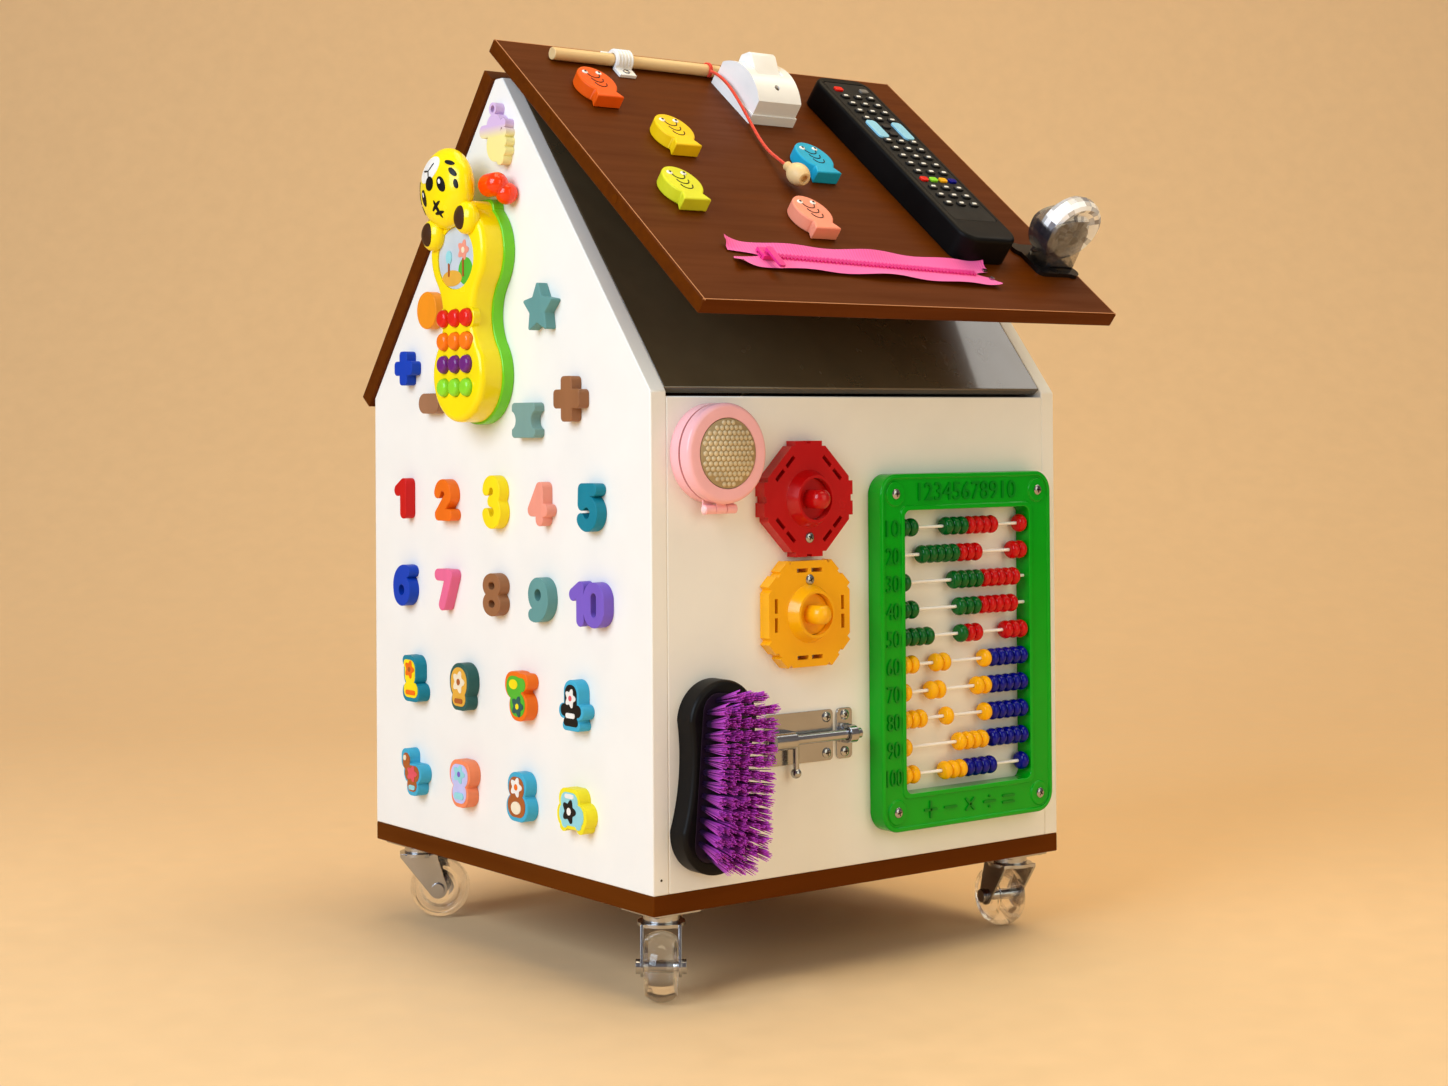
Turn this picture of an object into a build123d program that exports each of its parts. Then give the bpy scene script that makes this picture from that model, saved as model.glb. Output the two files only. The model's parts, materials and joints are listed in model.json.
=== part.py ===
# Activity house on casters: a white board house with a brown base and roof, carrying toys and fittings.
# Millimetres. +Z is up, X runs along the ridge, the abacus wall faces -Y, the number gable faces -X.
# The floor is Z = 0 and the Z axis passes through the middle of the house.
import os
from math import atan2, cos, degrees, hypot, pi, radians, sin, tan

from build123d import *

# Shared allowances
overrun = 2.0
run_gap = 0.35
slide_gap = 0.3

# House boards
house_w = 350.0
house_d = 336.0
board = 12.0
base_thick = 12.5
caster_height = 55.0
wall_height = 306.0
ridge_rise = 211.5
ridge_flat = 8.8
wall_drop = 3.0
roof_side = 2.5
rear_eave = 7.5
slope_board_thick = 6.0
slope_board_low = 3.0
slope_board_high = 9.0

# Lid and roof hinges
lid_thick = 10.0
lid_len = 293.0
lid_back = 5.0
lid_gap = 0.4
lid_slope_deg = 39.3
hinge_rise = 27.5
hinge_knuckle_r = 4.2
hinge_pin_r = 1.6
hinge_leaf = 2.0
hinge_web = 1.7
hinge_relief = 1.0
hinge_width = 51.0
hinge_fixed_len = 26.0
hinge_lid_len = 27.0
hinge_place_share = 0.6
knuckle_gap = 0.4

# Casters under the base
caster_plate_w = 38.0
caster_plate_t = 2.0
caster_inset = 4.0
caster_trail = 14.0
wheel_r = 21.5
wheel_w = 20.0
wheel_dish = 3.0
wheel_rim = 4.5
wheel_shoulder = 4.0
hub_r = 8.0
axle_r = 3.0
axle_head_r = 4.6
axle_head_t = 3.0
fork_t = 1.8
fork_side_gap = 0.8
fork_crown_r = 15.0
fork_crown_t = 2.5
fork_crown_gap = 1.3
fork_leg_top_w = 26.0
fork_leg_end_r = 6.5
race_r = 11.5
caster_yaw_deg = {"near": 232.0, "left": -38.6, "right": 76.0, "rear": 30.0}

# Number blocks on the gable
digit_h = 28.5
digit_w = 22.5
digit_stroke = 8.2
digit_t = 8.0
digit_eye_r = 3.8
eight_eye_shares = (0.36, 0.3)
eight_ring_shares = (0.96, 0.58)
digit_tail_shares = ((-0.5, 0.6), (0.62, 1.0))
zero_eye_r = 3.0
ten_one_share = 0.76
ten_shift_share = 0.3
number_column_shares = (-0.70, -0.365, 0.0, 0.33, 0.66)
number_row_shares = (0.768, 0.567)
digit_bar_shares = {
    1: (((0.35, -1.0), (0.35, 1.0)), ((0.35, 1.0), (-0.75, 0.55))),
    2: (((0.85, 0.2), (-0.9, -1.0)), ((-0.9, -1.0), (1.0, -1.0))),
    3: (),
    4: (((0.3, 1.0), (-1.0, -0.4)), ((-1.0, -0.4), (1.0, -0.4)), ((0.3, 1.0), (0.3, -1.0))),
    5: (((-0.75, 1.0), (0.9, 1.0)), ((-0.75, 1.0), (-0.8, 0.1))),
    7: (((-1.0, 1.0), (1.0, 1.0)), ((1.0, 1.0), (-0.25, -1.0))),
}
digit_arc_shares = {
    1: (),
    2: (((-1.0, 0.5), (0.05, 1.0), (0.85, 0.2)),),
    3: (((-0.9, 0.8), (0.9, 0.55), (-0.05, 0.05)), ((-0.05, 0.05), (1.0, -0.5), (-0.95, -0.8))),
    4: (),
    5: (((-0.8, 0.1), (1.0, -0.4), (-0.95, -0.85)),),
    7: (),
}

# Printed blocks on the gable, each a union of rounded lobes: centre x, centre y, width, height
block_w = 27.0
block_h = 32.0
block_t = 9.0
block_corner_share = 0.48
block_column_shares = (-0.615, -0.235, 0.185, 0.56)
block_row_shares = (0.357, 0.143)
block_lobe_shares = (
    ((-0.05, 0.16, 0.62, 0.68), (0.0, -0.3, 0.84, 0.4), (-0.22, 0.38, 0.4, 0.24)),
    ((0.0, 0.1, 0.9, 0.8), (0.0, -0.3, 0.74, 0.4)),
    ((-0.1, 0.22, 0.8, 0.56), (0.08, -0.2, 0.78, 0.6), (0.2, 0.3, 0.6, 0.34)),
    ((0.0, 0.0, 0.6, 1.0), (0.0, -0.12, 1.0, 0.3), (0.0, -0.4, 0.7, 0.2)),
    ((-0.3, 0.28, 0.4, 0.44), (0.05, -0.02, 0.86, 0.42), (0.05, -0.32, 0.56, 0.36)),
    ((0.0, 0.2, 0.96, 0.6), (0.0, -0.24, 0.78, 0.52)),
    ((0.0, 0.22, 0.8, 0.56), (0.0, -0.22, 0.92, 0.56)),
    ((0.0, -0.12, 1.2, 0.52), (-0.1, 0.18, 0.84, 0.46), (-0.34, -0.3, 0.3, 0.3), (0.34, -0.3, 0.3, 0.3)),
)

# Plain shapes on the gable
shape_t = 8.0
star_r = 18.0
star_inner_share = 0.52
star_round = 1.2
star_place_shares = (0.336, 1.18)
plus_longs = (24.0, 29.0)
plus_bar_share = 0.42
plus_round = 3.0
plus_place_shares = ((-0.679, 1.067), (0.53, 0.988))
bow_w = 27.0
bow_h = 23.0
bow_notch = 6.0
bow_place_shares = (0.235, 0.9445)
disc_r = 13.0
disc_place_shares = (-0.485, 1.196)
peg_long = 26.0
peg_wide = 14.0
peg_place_shares = (-0.475, 0.985)
horse_h = 43.0
horse_t = 7.0
horse_place_shares = (0.027, 1.564)
# Sea horse: lobes and back scallops as centre x, centre y and radius, all as shares of its height
horse_lobe_shares = ((0.0, 0.12, 0.21), (0.05, -0.16, 0.255), (0.17, -0.37, 0.105))
horse_scallop_shares = ((0.26, 0.16, 0.075), (0.28, 0.02, 0.075), (0.28, -0.12, 0.075), (0.26, -0.26, 0.075))
horse_snout_shares = (-0.2, 0.08, 0.42, 0.2)
horse_crest_shares = (-0.03, 0.41, 0.1, 0.055)

# Toy phone on the gable
phone_place_shares = (-0.092, 1.044)
phone_low_r = 33.0
phone_top_r = 35.0
phone_waist_arc = 34.0
phone_lobe_step = 82.0
phone_shoulder_w = 44.0
phone_shoulder_top = 117.0
phone_shoulder_corner = 7.0
phone_back_t = 8.5
phone_front_t = 16.5
phone_lip = 1.5
phone_round = 4.5
key_r = 6.0
key_rise = 4.0
key_round = 3.0
key_travel = 1.5
key_pitch_u = 14.2
key_pitch_v = 15.4
key_row_step = 38.0
window_w = 45.0
window_h = 42.0
window_v = 78.0
window_deep = 1.5
head_r = 27.0
head_t = 13.4
head_u = -8.0
head_v = 125.0
head_deep = 26.0
paw_r = 11.0
paw_t = 7.5
paw_places = ((-25.0, 95.0), (16.5, 103.5))
paw_deep = 26.0
lens_r = 8.0
lens_u = 27.0
lens_long = 8.0
lens_deep = 12.0
lens_end_r = 7.5
lens_end_shift = 7.0
lens_end_drop = 6.0
lens_end_deep = 6.0

# Folding compact brush on the front wall
compact_place_shares = (-0.74, 0.875)
compact_r = 31.0
compact_half_t = 8.4
compact_slit = 1.6
compact_round = 3.0
pad_r = 21.5
pad_deep = 3.0
pad_dome = 2.6
compact_lug_r = 3.0
compact_lug_w = 24.0
compact_pin_r = 1.3

# Octagon plates with twist knobs on the front wall
octagon_flats = 67.0
octagon_t = 9.0
octagon_gap = 2.5
octagon_place_shares = (-0.325, 0.778)
tab_w = 22.0
tab_out = 3.2
tab_notch = 4.0
slot_w = 9.0
slot_h = 2.6
slot_in = 6.0
collar_r = 15.0
collar_wall = 1.8
collar_flare = 3.5
collar_h = 7.0
knob_t = 2.0
knob_peg_r = 7.0
knob_peg_flat = 5.8
knob_peg_out = 3.0
knob_stub_r = 3.0
knob_stub_h = 4.0

# Abacus on the front wall
abacus_place_shares = (0.453, 0.4445)
abacus_w = 157.0
abacus_h = 233.0
abacus_t = 13.0
abacus_corner = 14.0
abacus_window_w = 115.0
abacus_window_h = 185.0
abacus_window_corner = 5.0
abacus_rim = 3.0
abacus_recess = 1.2
abacus_boss_r = 8.0
abacus_boss_in = 13.0
abacus_edge = 1.5
wire_r = 1.1
wire_deep = 6.7
wire_pitch = 18.0
bead_r = 6.2
bead_t = 6.6
bead_face_r = 4.0
bead_step = 0.3
bead_end_gap = 0.4
# For each wire: beads parked at the left, beads in the sliding cluster, and the cluster's middle
bead_counts = ((2, 7), (0, 8), (1, 9), (2, 8), (4, 3), (2, 2), (1, 2), (3, 1), (1, 4), (2, 7))
bead_middle_shares = (0.1, -0.22, 0.34, 0.36, 0.08, -0.38, -0.46, -0.28, 0.1, 0.05)

# Barrel bolt on the front wall
bolt_place_shares = (-0.343, 0.282)
bolt_plate_w = 56.0
bolt_plate_h = 32.5
bolt_plate_t = 1.6
bolt_corner = 3.0
keeper_w = 13.0
keeper_gap = 3.5
bolt_rod_r = 3.4
bolt_rod_deep = 7.0
bolt_past_keeper = 1.5
barrel_len = 17.0
barrel_w = 11.6
barrel_end_in = 1.0
bolt_travel = 14.0
lever_r = 2.0
lever_len = 21.0
lever_ball_r = 3.4

# Scrub brush on the front wall
brush_place_shares = (-0.762, 0.228)
brush_turn_deg = -5.0
brush_w = 52.0
brush_h = 119.0
brush_t = 15.0
brush_waist = 4.0
brush_round = 3.0
bristle_pad_w = 36.0
bristle_pad_h = 104.0
bristle_pad_t = 2.0
bristle_len = 26.0
bristle_r = 0.85
bristle_columns = 11
bristle_rows = 32
bristle_edge = 3.0
bristle_splay_share = 0.2

# Switch box on the lid: places on the lid are shares of half the width and of the length
switch_place_shares = (0.057, 0.186)
switch_w = 40.0
switch_len = 53.0
switch_base_t = 7.0
switch_base_lip = 1.0
switch_side_h = 18.0
switch_top_h = 28.0
rocker_w = 22.0
rocker_len = 24.0
rocker_deep = 9.0
rocker_rise = 6.0
rocker_shift = 8.0
rocker_floor_gap = 1.9
rocker_end_gap = 0.8
rocker_pin_r = 2.0
rocker_pin_out = 2.0
lamp_r = 2.0
lamp_deep = 3.0
lamp_down = 16.0

# Remote control on the lid
remote_place_shares = (0.521, 0.474)
remote_w = 50.0
remote_len = 203.0
remote_t = 20.0
remote_corner = 12.0
remote_round = 3.0
keypad_w = 40.0
keypad_len = 172.0
keypad_top = 8.0
keypad_corner = 3.0
keypad_deep = 2.2
keypad_t = 1.2
keypad_travel = 0.6
remote_key_w = 6.0
remote_key_h = 3.4
remote_key_rise = 1.6
remote_key_columns = 3
remote_key_rows = 17
remote_key_pitch = 12.0
remote_rocker_w = 9.0
remote_rocker_h = 22.0
remote_rocker_rows = (5, 6)

# Fish blocks on the lid
fish_len = 37.0
fish_w = 27.0
fish_tail_w = 22.0
fish_waist_w = 15.0
fish_tail_len = 8.0
fish_t = 9.5
fish_tail_shares = ((-0.735, 0.268), (-0.55, 0.452), (-0.735, 0.675), (0.06, 0.522), (-0.212, 0.757))

# Fishing rod, its clip, cord and bead on the lid
rod_r = 4.3
rod_len = 142.0
rod_place_shares = (-0.41, 0.067)
clip_x_share = -0.495
clip_w = 14.0
clip_t = 2.6
clip_foot = 8.0
cord_r = 1.1
bead_len = 22.0
bead_body_r = 7.4
bead_neck_r = 3.2
bead_neck_len = 5.0
bead_end_r = 4.2
bead_bore_r = 2.6
bead_bore_len = 4.0
cord_bend_share = 0.45
# Cord route on the lid: across, down the slope and up from the surface, from the rod to the bead
cord_route = (
    (-11.0, 19.6, 5.0),
    (-12.5, 30.0, 9.5),
    (-13.3, 47.0, 11.5),
    (-13.6, 66.0, 9.0),
    (-14.2, 85.0, 5.0),
    (-16.5, 104.0, 2.6),
    (-19.5, 121.0, 3.2),
    (-21.5, 134.0, 5.8),
    (-22.0, 146.0, 7.8),
)

# Zipper on the lid
zip_place_shares = (-0.116, 0.8515)
zip_turn_deg = -2.9
zip_len = 216.0
zip_w = 27.0
zip_tape_t = 1.2
zip_teeth_w = 5.0
zip_teeth_rise = 1.4
zip_notch_w = 7.0
zip_notch_len = 16.0
zip_slider_x = 22.0
slider_len = 11.0
slider_w = 10.0
slider_wall = 1.5
pull_len = 20.0
pull_w = 5.0
pull_t = 1.6

# Hooded wheel spinner on the lid
spinner_place_shares = (0.88, 0.8)
spinner_trail = 6.0
spinner_plate_w = 34.0
spinner_plate_t = 3.0
spinner_ear_r = 5.5
spinner_ear_out = 20.0
spinner_ear_deg = -40.0
spinner_wheel_r = 23.5
spinner_wheel_w = 16.0
spinner_floor_gap = 3.5
spinner_cheek_t = 2.2
spinner_cheek_r = 8.0
spinner_cheek_top = 12.0
spinner_axle_r = 2.6
spinner_hood_t = 2.0
spinner_hood_deg = 108.0
spinner_hood_middle_deg = 128.0
spinner_hood_edge = 3.0
spinner_foot_w = 24.0

# Places worked out from the sizes above
half_w = house_w / 2
half_d = house_d / 2
base_top = caster_height + base_thick
eave_z = base_top + wall_height
apex_z = eave_z + ridge_rise
slope_run = half_d - ridge_flat / 2
slope_len = hypot(slope_run, ridge_rise)
slope_angle = atan2(ridge_rise, slope_run)
front_down = Vector(0, -cos(slope_angle), -sin(slope_angle))
front_normal = Vector(0, -sin(slope_angle), cos(slope_angle))
rear_down = Vector(0, cos(slope_angle), -sin(slope_angle))
rear_normal = Vector(0, sin(slope_angle), cos(slope_angle))
front_apex = Vector(0, -ridge_flat / 2, apex_z)
rear_apex = Vector(0, ridge_flat / 2, apex_z)
hinge_axis = front_apex - front_down * hinge_rise + front_normal * lid_gap
lid_slope = radians(lid_slope_deg)
lid_down = Vector(0, -cos(lid_slope), -sin(lid_slope))
lid_normal = Vector(0, -sin(lid_slope), cos(lid_slope))
on_gable = Plane(origin=(-half_w, 0, 0), x_dir=(0, -1, 0), z_dir=(-1, 0, 0))
on_front = Plane(origin=(0, -half_d, 0), x_dir=(1, 0, 0), z_dir=(0, -1, 0))
on_slope = Plane(origin=(0, -half_d, eave_z), x_dir=(1, 0, 0), z_dir=front_normal)
on_rear = Plane(origin=rear_apex, x_dir=(1, 0, 0), z_dir=rear_normal)
on_lid_under = Plane(origin=hinge_axis, x_dir=(1, 0, 0), z_dir=lid_normal)
lid_top_back = hinge_axis + lid_down * lid_back + lid_normal * lid_thick
on_lid = Plane(origin=lid_top_back, x_dir=(1, 0, 0), z_dir=lid_normal)
octagon_step = octagon_flats + tab_out + octagon_gap
knob_r = collar_r - collar_wall - run_gap
axle_z = wheel_r
wheel_top = 2 * wheel_r
fork_crown_z = wheel_top + fork_crown_gap


# Shared helpers
def block(x0, x1, y0, y1, z0, z1):
    return Pos((x0 + x1) / 2, (y0 + y1) / 2, (z0 + z1) / 2) * Box(x1 - x0, y1 - y0, z1 - z0)


def rod_along_x(radius, x0, x1, y=0, z=0):
    return Pos((x0 + x1) / 2, y, z) * Rot(0, 90, 0) * Cylinder(radius, x1 - x0)


def post(radius, z0, z1, x=0, y=0):
    return Pos(x, y, (z0 + z1) / 2) * Cylinder(radius, z1 - z0)


def rounded_plate(width, height, corner, z0, z1):
    return Pos(0, 0, z0) * extrude(RectangleRounded(width, height, corner), z1 - z0)


def round_top(solid, radius):
    return fillet(solid.faces().sort_by(Axis.Z)[-1].edges(), radius)


def gable_place(shares):
    return on_gable.location * Pos(shares[0] * half_d, base_top + shares[1] * wall_height, 0)


def front_place(shares):
    return on_front.location * Pos(shares[0] * half_w, base_top + shares[1] * wall_height, 0)


def lid_place(shares):
    return on_lid.location * Pos(shares[0] * half_w, -shares[1] * lid_len, 0)


# House boards
def base_plate():
    return [block(-half_w, half_w, -half_d, half_d, caster_height, base_top)]


def gable(x0):
    outline = Polygon(
        (-half_d, base_top), (half_d, base_top), (half_d, eave_z),
        (ridge_flat / 2, apex_z), (-ridge_flat / 2, apex_z), (-half_d, eave_z), align=None)
    return [Pos(x0, 0, 0) * extrude(Plane.YZ * outline, board)]


def long_wall(y0):
    inner = half_w - board
    return [block(-inner, inner, y0, y0 + board, base_top, eave_z - wall_drop)]


def slope_board():
    inner = half_w - board
    high = slope_len - slope_board_high
    return [on_slope.location * block(-inner, inner, slope_board_low, high, -slope_board_thick, 0)]


# The rear panel carries the fixed hinge leaves, with the knuckles and pins of the lid's hinges
def rear_roof_panel():
    edge = half_w + roof_side
    panel = block(-edge, edge, 0, slope_len + rear_eave, 0, board)
    solids = [on_rear.location * panel]
    reach = hinge_axis - rear_apex
    axis_y = reach.dot(rear_down)
    axis_z = reach.dot(rear_normal)
    web_y = axis_y + hinge_knuckle_r
    third = hinge_width / 3
    for side in (-1, 1):
        x = side * hinge_place_share * half_w
        leaf = block(x - hinge_width / 2, x + hinge_width / 2, web_y - hinge_web, hinge_fixed_len,
                     board, board + hinge_leaf)
        notch = third / 2 + knuckle_gap
        leaf -= block(x - notch, x + notch, web_y - hinge_web - overrun, web_y + hinge_relief,
                      board - overrun, board + hinge_leaf + overrun)
        leaf += rod_along_x(hinge_pin_r, x - hinge_width / 2, x + hinge_width / 2, axis_y, axis_z)
        for end in (-1, 1):
            inner_x = x + end * (third / 2 + knuckle_gap)
            outer_x = x + end * hinge_width / 2
            low, high = sorted((inner_x, outer_x))
            leaf += rod_along_x(hinge_knuckle_r, low, high, axis_y, axis_z)
            leaf += block(low, high, web_y - hinge_web, web_y, board, axis_z)
        solids.append(on_rear.location * leaf)
    return solids


# The lid panel with the moving hinge leaves screwed under it
def lid_panel():
    edge = half_w + roof_side
    panel = block(-edge, edge, -lid_back - lid_len, -lid_back, 0, lid_thick)
    solids = [on_lid_under.location * panel]
    third = hinge_width / 3
    for side in (-1, 1):
        x = side * hinge_place_share * half_w
        leaf = block(x - third / 2, x + third / 2, -hinge_lid_len, 0, -hinge_leaf, 0)
        leaf += rod_along_x(hinge_knuckle_r, x - third / 2, x + third / 2)
        leaf -= rod_along_x(hinge_pin_r + slide_gap, x - third, x + third)
        solids.append(on_lid_under.location * leaf)
    return solids


# Casters: square plates under the corners, forks that swivel, wheels that roll
def caster_spots():
    x = half_w - caster_inset - caster_plate_w / 2
    y = half_d - caster_inset - caster_plate_w / 2
    return {"near": (-x, -y), "left": (-x, y), "right": (x, -y), "rear": (x, y)}


def caster_frame(name):
    x, y = caster_spots()[name]
    return Pos(x, y, 0) * Rot(0, 0, caster_yaw_deg[name])


def caster_plates():
    low = caster_height - caster_plate_t
    plate = rounded_plate(caster_plate_w, caster_plate_w, caster_inset, low, caster_height)
    return [Pos(x, y, 0) * plate for x, y in caster_spots().values()]


def caster_fork(name):
    leg_y = wheel_w / 2 + fork_side_gap
    crown_top = fork_crown_z + fork_crown_t
    fork = post(fork_crown_r, fork_crown_z, crown_top)
    fork += post(race_r, crown_top, caster_height - caster_plate_t - slide_gap)
    half_top = fork_leg_top_w / 2
    outline = make_hull((
        Pos(caster_trail, axle_z) * Circle(fork_leg_end_r)
        + Polygon((-half_top, fork_crown_z), (half_top, fork_crown_z), (half_top, crown_top),
                  (-half_top, crown_top), align=None)).edges())
    leg = extrude(Plane.XZ * outline, fork_t)
    for y in (-leg_y, leg_y + fork_t):
        fork += Pos(0, y, 0) * leg
    bridge_half = leg_y + fork_t
    fork += block(-half_top, half_top, -bridge_half, bridge_half, fork_crown_z, crown_top)
    end = bridge_half + axle_head_t
    axle = Pos(caster_trail, 0, axle_z) * Rot(90, 0, 0)
    fork += axle * Cylinder(axle_r, 2 * bridge_half)
    for side in (-1, 1):
        fork += axle * Pos(0, 0, side * (end - axle_head_t / 2)) * Cylinder(axle_head_r, axle_head_t)
    return [caster_frame(name) * fork]


def rolling_wheel(radius, width, dish, bore):
    half = width / 2
    rim_r = radius - wheel_rim
    profile = make_face(
        Polyline((bore, -half), (hub_r, -half), (hub_r + dish, -half + dish), (rim_r - dish, -half + dish),
                 (rim_r, -half), (radius - wheel_shoulder, -half))
        + ThreePointArc((radius - wheel_shoulder, -half), (radius, 0), (radius - wheel_shoulder, half))
        + Polyline((radius - wheel_shoulder, half), (rim_r, half), (rim_r - dish, half - dish),
                   (hub_r + dish, half - dish), (hub_r, half), (bore, half), (bore, -half)))
    return revolve(Plane.XZ * profile, Axis.Z)


def caster_wheel(name):
    wheel = rolling_wheel(wheel_r, wheel_w, wheel_dish, axle_r + slide_gap)
    return [caster_frame(name) * Pos(caster_trail, 0, axle_z) * Rot(90, 0, 0) * wheel]


# Number blocks
def digit_outline(number):
    across = (digit_w - digit_stroke) / 2
    up = (digit_h - digit_stroke) / 2

    def spot(share):
        return (share[0] * across, share[1] * up)

    outline = Sketch()
    for start, end in digit_bar_shares[number]:
        (x0, y0), (x1, y1) = spot(start), spot(end)
        bar = SlotCenterToCenter(hypot(x1 - x0, y1 - y0), digit_stroke)
        outline += Pos((x0 + x1) / 2, (y0 + y1) / 2) * Rot(0, 0, degrees(atan2(y1 - y0, x1 - x0))) * bar
    for points in digit_arc_shares[number]:
        outline += SlotArc(ThreePointArc(*[spot(share) for share in points]), digit_stroke)
    return outline


def tailed_ring():
    ring_r = digit_w / 2
    up = digit_h / 2 - ring_r
    reach = digit_h / 2 - digit_stroke / 2
    points = [(x * ring_r, y * reach) for x, y in digit_tail_shares]
    arc = ThreePointArc((digit_stroke / 2 - ring_r, -up), *points)
    outline = Pos(0, -up) * Circle(ring_r) + SlotArc(arc, digit_stroke)
    return outline - Pos(0, -up) * Circle(digit_eye_r)


def eight_outline():
    half_x = digit_w / 2 * eight_ring_shares[0]
    half_y = digit_h / 2 * eight_ring_shares[1]
    outline = Sketch()
    for side in (-1, 1):
        ring = Pos(0, side * (digit_h / 2 - half_y))
        outline += ring * Ellipse(half_x, half_y)
    for side in (-1, 1):
        ring = Pos(0, side * (digit_h / 2 - half_y))
        outline -= ring * Ellipse(half_x * eight_eye_shares[0], half_y * eight_eye_shares[1])
    return outline


def number_outline(number):
    if number == 8:
        return eight_outline()
    if number == 6:
        return tailed_ring()
    if number == 9:
        return Rot(0, 0, 180) * tailed_ring()
    if number == 10:
        zero = SlotOverall(digit_h, digit_w, rotation=90)
        zero -= SlotOverall(digit_h - digit_stroke * 2 + zero_eye_r, zero_eye_r * 2, rotation=90)
        one = Pos(-digit_w * ten_one_share, 0) * digit_outline(1)
        return Pos(digit_w * ten_shift_share, 0) * (zero + one)
    return digit_outline(number)


def number_blocks():
    solids = []
    for index in range(10):
        shares = (number_column_shares[index % 5], number_row_shares[index // 5])
        solids.append(gable_place(shares) * extrude(number_outline(index + 1), digit_t))
    return solids


# Printed blocks and plain shapes
def picture_block(lobes):
    outline = Sketch()
    for x, y, w, h in lobes:
        width = w * block_w
        height = h * block_h
        corner = block_corner_share * min(width, height)
        outline += Pos(x * block_w, y * block_h) * RectangleRounded(width, height, corner)
    return extrude(outline, block_t)


def star():
    points = []
    for index in range(10):
        radius = star_r if index % 2 == 0 else star_r * star_inner_share
        turn = pi / 2 + index * pi / 5
        points.append((radius * cos(turn), radius * sin(turn)))
    outline = Polygon(*points, align=None)
    return extrude(fillet(outline.vertices(), star_round), shape_t)


def plus(long):
    bar = plus_bar_share * long
    outline = RectangleRounded(long, bar, plus_round) + RectangleRounded(bar, long, plus_round)
    return extrude(outline, shape_t)


def bow():
    outline = RectangleRounded(bow_w, bow_h, bow_notch / 2)
    for side in (-1, 1):
        outline -= Pos(side * (bow_w / 2 + bow_notch / 4), 0) * Circle(bow_notch)
    return extrude(outline, shape_t)


def sea_horse():
    outline = Sketch()
    for x, y, radius in horse_lobe_shares + horse_scallop_shares:
        outline += Pos(x * horse_h, y * horse_h) * Circle(radius * horse_h)
    x, y, long, wide = horse_snout_shares
    outline += Pos(x * horse_h, y * horse_h) * SlotOverall(long * horse_h, wide * horse_h)
    x, y, outer, inner = horse_crest_shares
    outline += Pos(x * horse_h, y * horse_h) * Circle(outer * horse_h)
    outline -= Pos(x * horse_h, y * horse_h) * Circle(inner * horse_h)
    return extrude(outline, horse_t)


def wall_blocks():
    solids = []
    for index, lobes in enumerate(block_lobe_shares):
        shares = (block_column_shares[index % 4], block_row_shares[index // 4])
        solids.append(gable_place(shares) * picture_block(lobes))
    solids.append(gable_place(star_place_shares) * star())
    for shares, long in zip(plus_place_shares, plus_longs):
        solids.append(gable_place(shares) * plus(long))
    solids.append(gable_place(bow_place_shares) * bow())
    solids.append(gable_place(disc_place_shares) * post(disc_r, 0, shape_t))
    solids.append(gable_place(peg_place_shares) * extrude(SlotOverall(peg_long, peg_wide), shape_t))
    solids.append(gable_place(horse_place_shares) * sea_horse())
    return solids


# Toy phone
def phone_outline(inset):
    low_r = phone_low_r - inset
    top_r = phone_top_r - inset
    low_reach = phone_low_r + phone_waist_arc
    top_reach = phone_top_r + phone_waist_arc
    waist_v = (low_reach ** 2 - top_reach ** 2 + phone_lobe_step ** 2) / (2 * phone_lobe_step)
    arc_u = (low_reach ** 2 - waist_v ** 2) ** 0.5
    waist_u = arc_u - phone_waist_arc - inset
    low_u = arc_u * low_r / low_reach
    low_v = waist_v * low_r / low_reach
    top_u = arc_u * top_r / top_reach
    top_v = phone_lobe_step + (waist_v - phone_lobe_step) * top_r / top_reach
    edges = ThreePointArc((low_u, low_v), (0, -low_r), (-low_u, low_v))
    edges += ThreePointArc((-low_u, low_v), (-waist_u, waist_v), (-top_u, top_v))
    edges += ThreePointArc((-top_u, top_v), (0, phone_lobe_step + top_r), (top_u, top_v))
    edges += ThreePointArc((top_u, top_v), (waist_u, waist_v), (low_u, low_v))
    return make_face(edges)


def key_spots(row):
    v = key_row_step - row * key_pitch_v
    return [(column * key_pitch_u, v) for column in (-1, 0, 1)]


def phone_shoulder(inset):
    low = phone_lobe_step
    high = phone_shoulder_top - inset
    width = phone_shoulder_w - 2 * inset
    return Pos(0, (low + high) / 2) * RectangleRounded(width, high - low, phone_shoulder_corner)


# The lamp lens stands on the shoulder, with its flat back on the wall
def phone_lens():
    v = phone_shoulder_top + lens_r + slide_gap
    lens = rod_along_x(lens_r, lens_u - lens_long / 2, lens_u + lens_long / 2, v, lens_deep)
    for side in (-1, 1):
        lens += Pos(lens_u + side * lens_long / 2, v, lens_deep) * Sphere(lens_r)
    lens += Pos(lens_u + lens_end_shift, v - lens_end_drop, lens_end_deep) * Sphere(lens_end_r)
    reach = lens_u + v
    return lens - block(-reach, reach, -reach, reach, -reach, 0)


def flat_ball(radius, thick):
    return scale(Sphere(radius), (1, 1, thick / radius))


def phone_back_shell():
    shell = extrude(phone_outline(0), phone_back_t) + extrude(phone_shoulder(0), phone_back_t)
    return [gable_place(phone_place_shares) * shell, gable_place(phone_place_shares) * phone_lens()]


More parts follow.
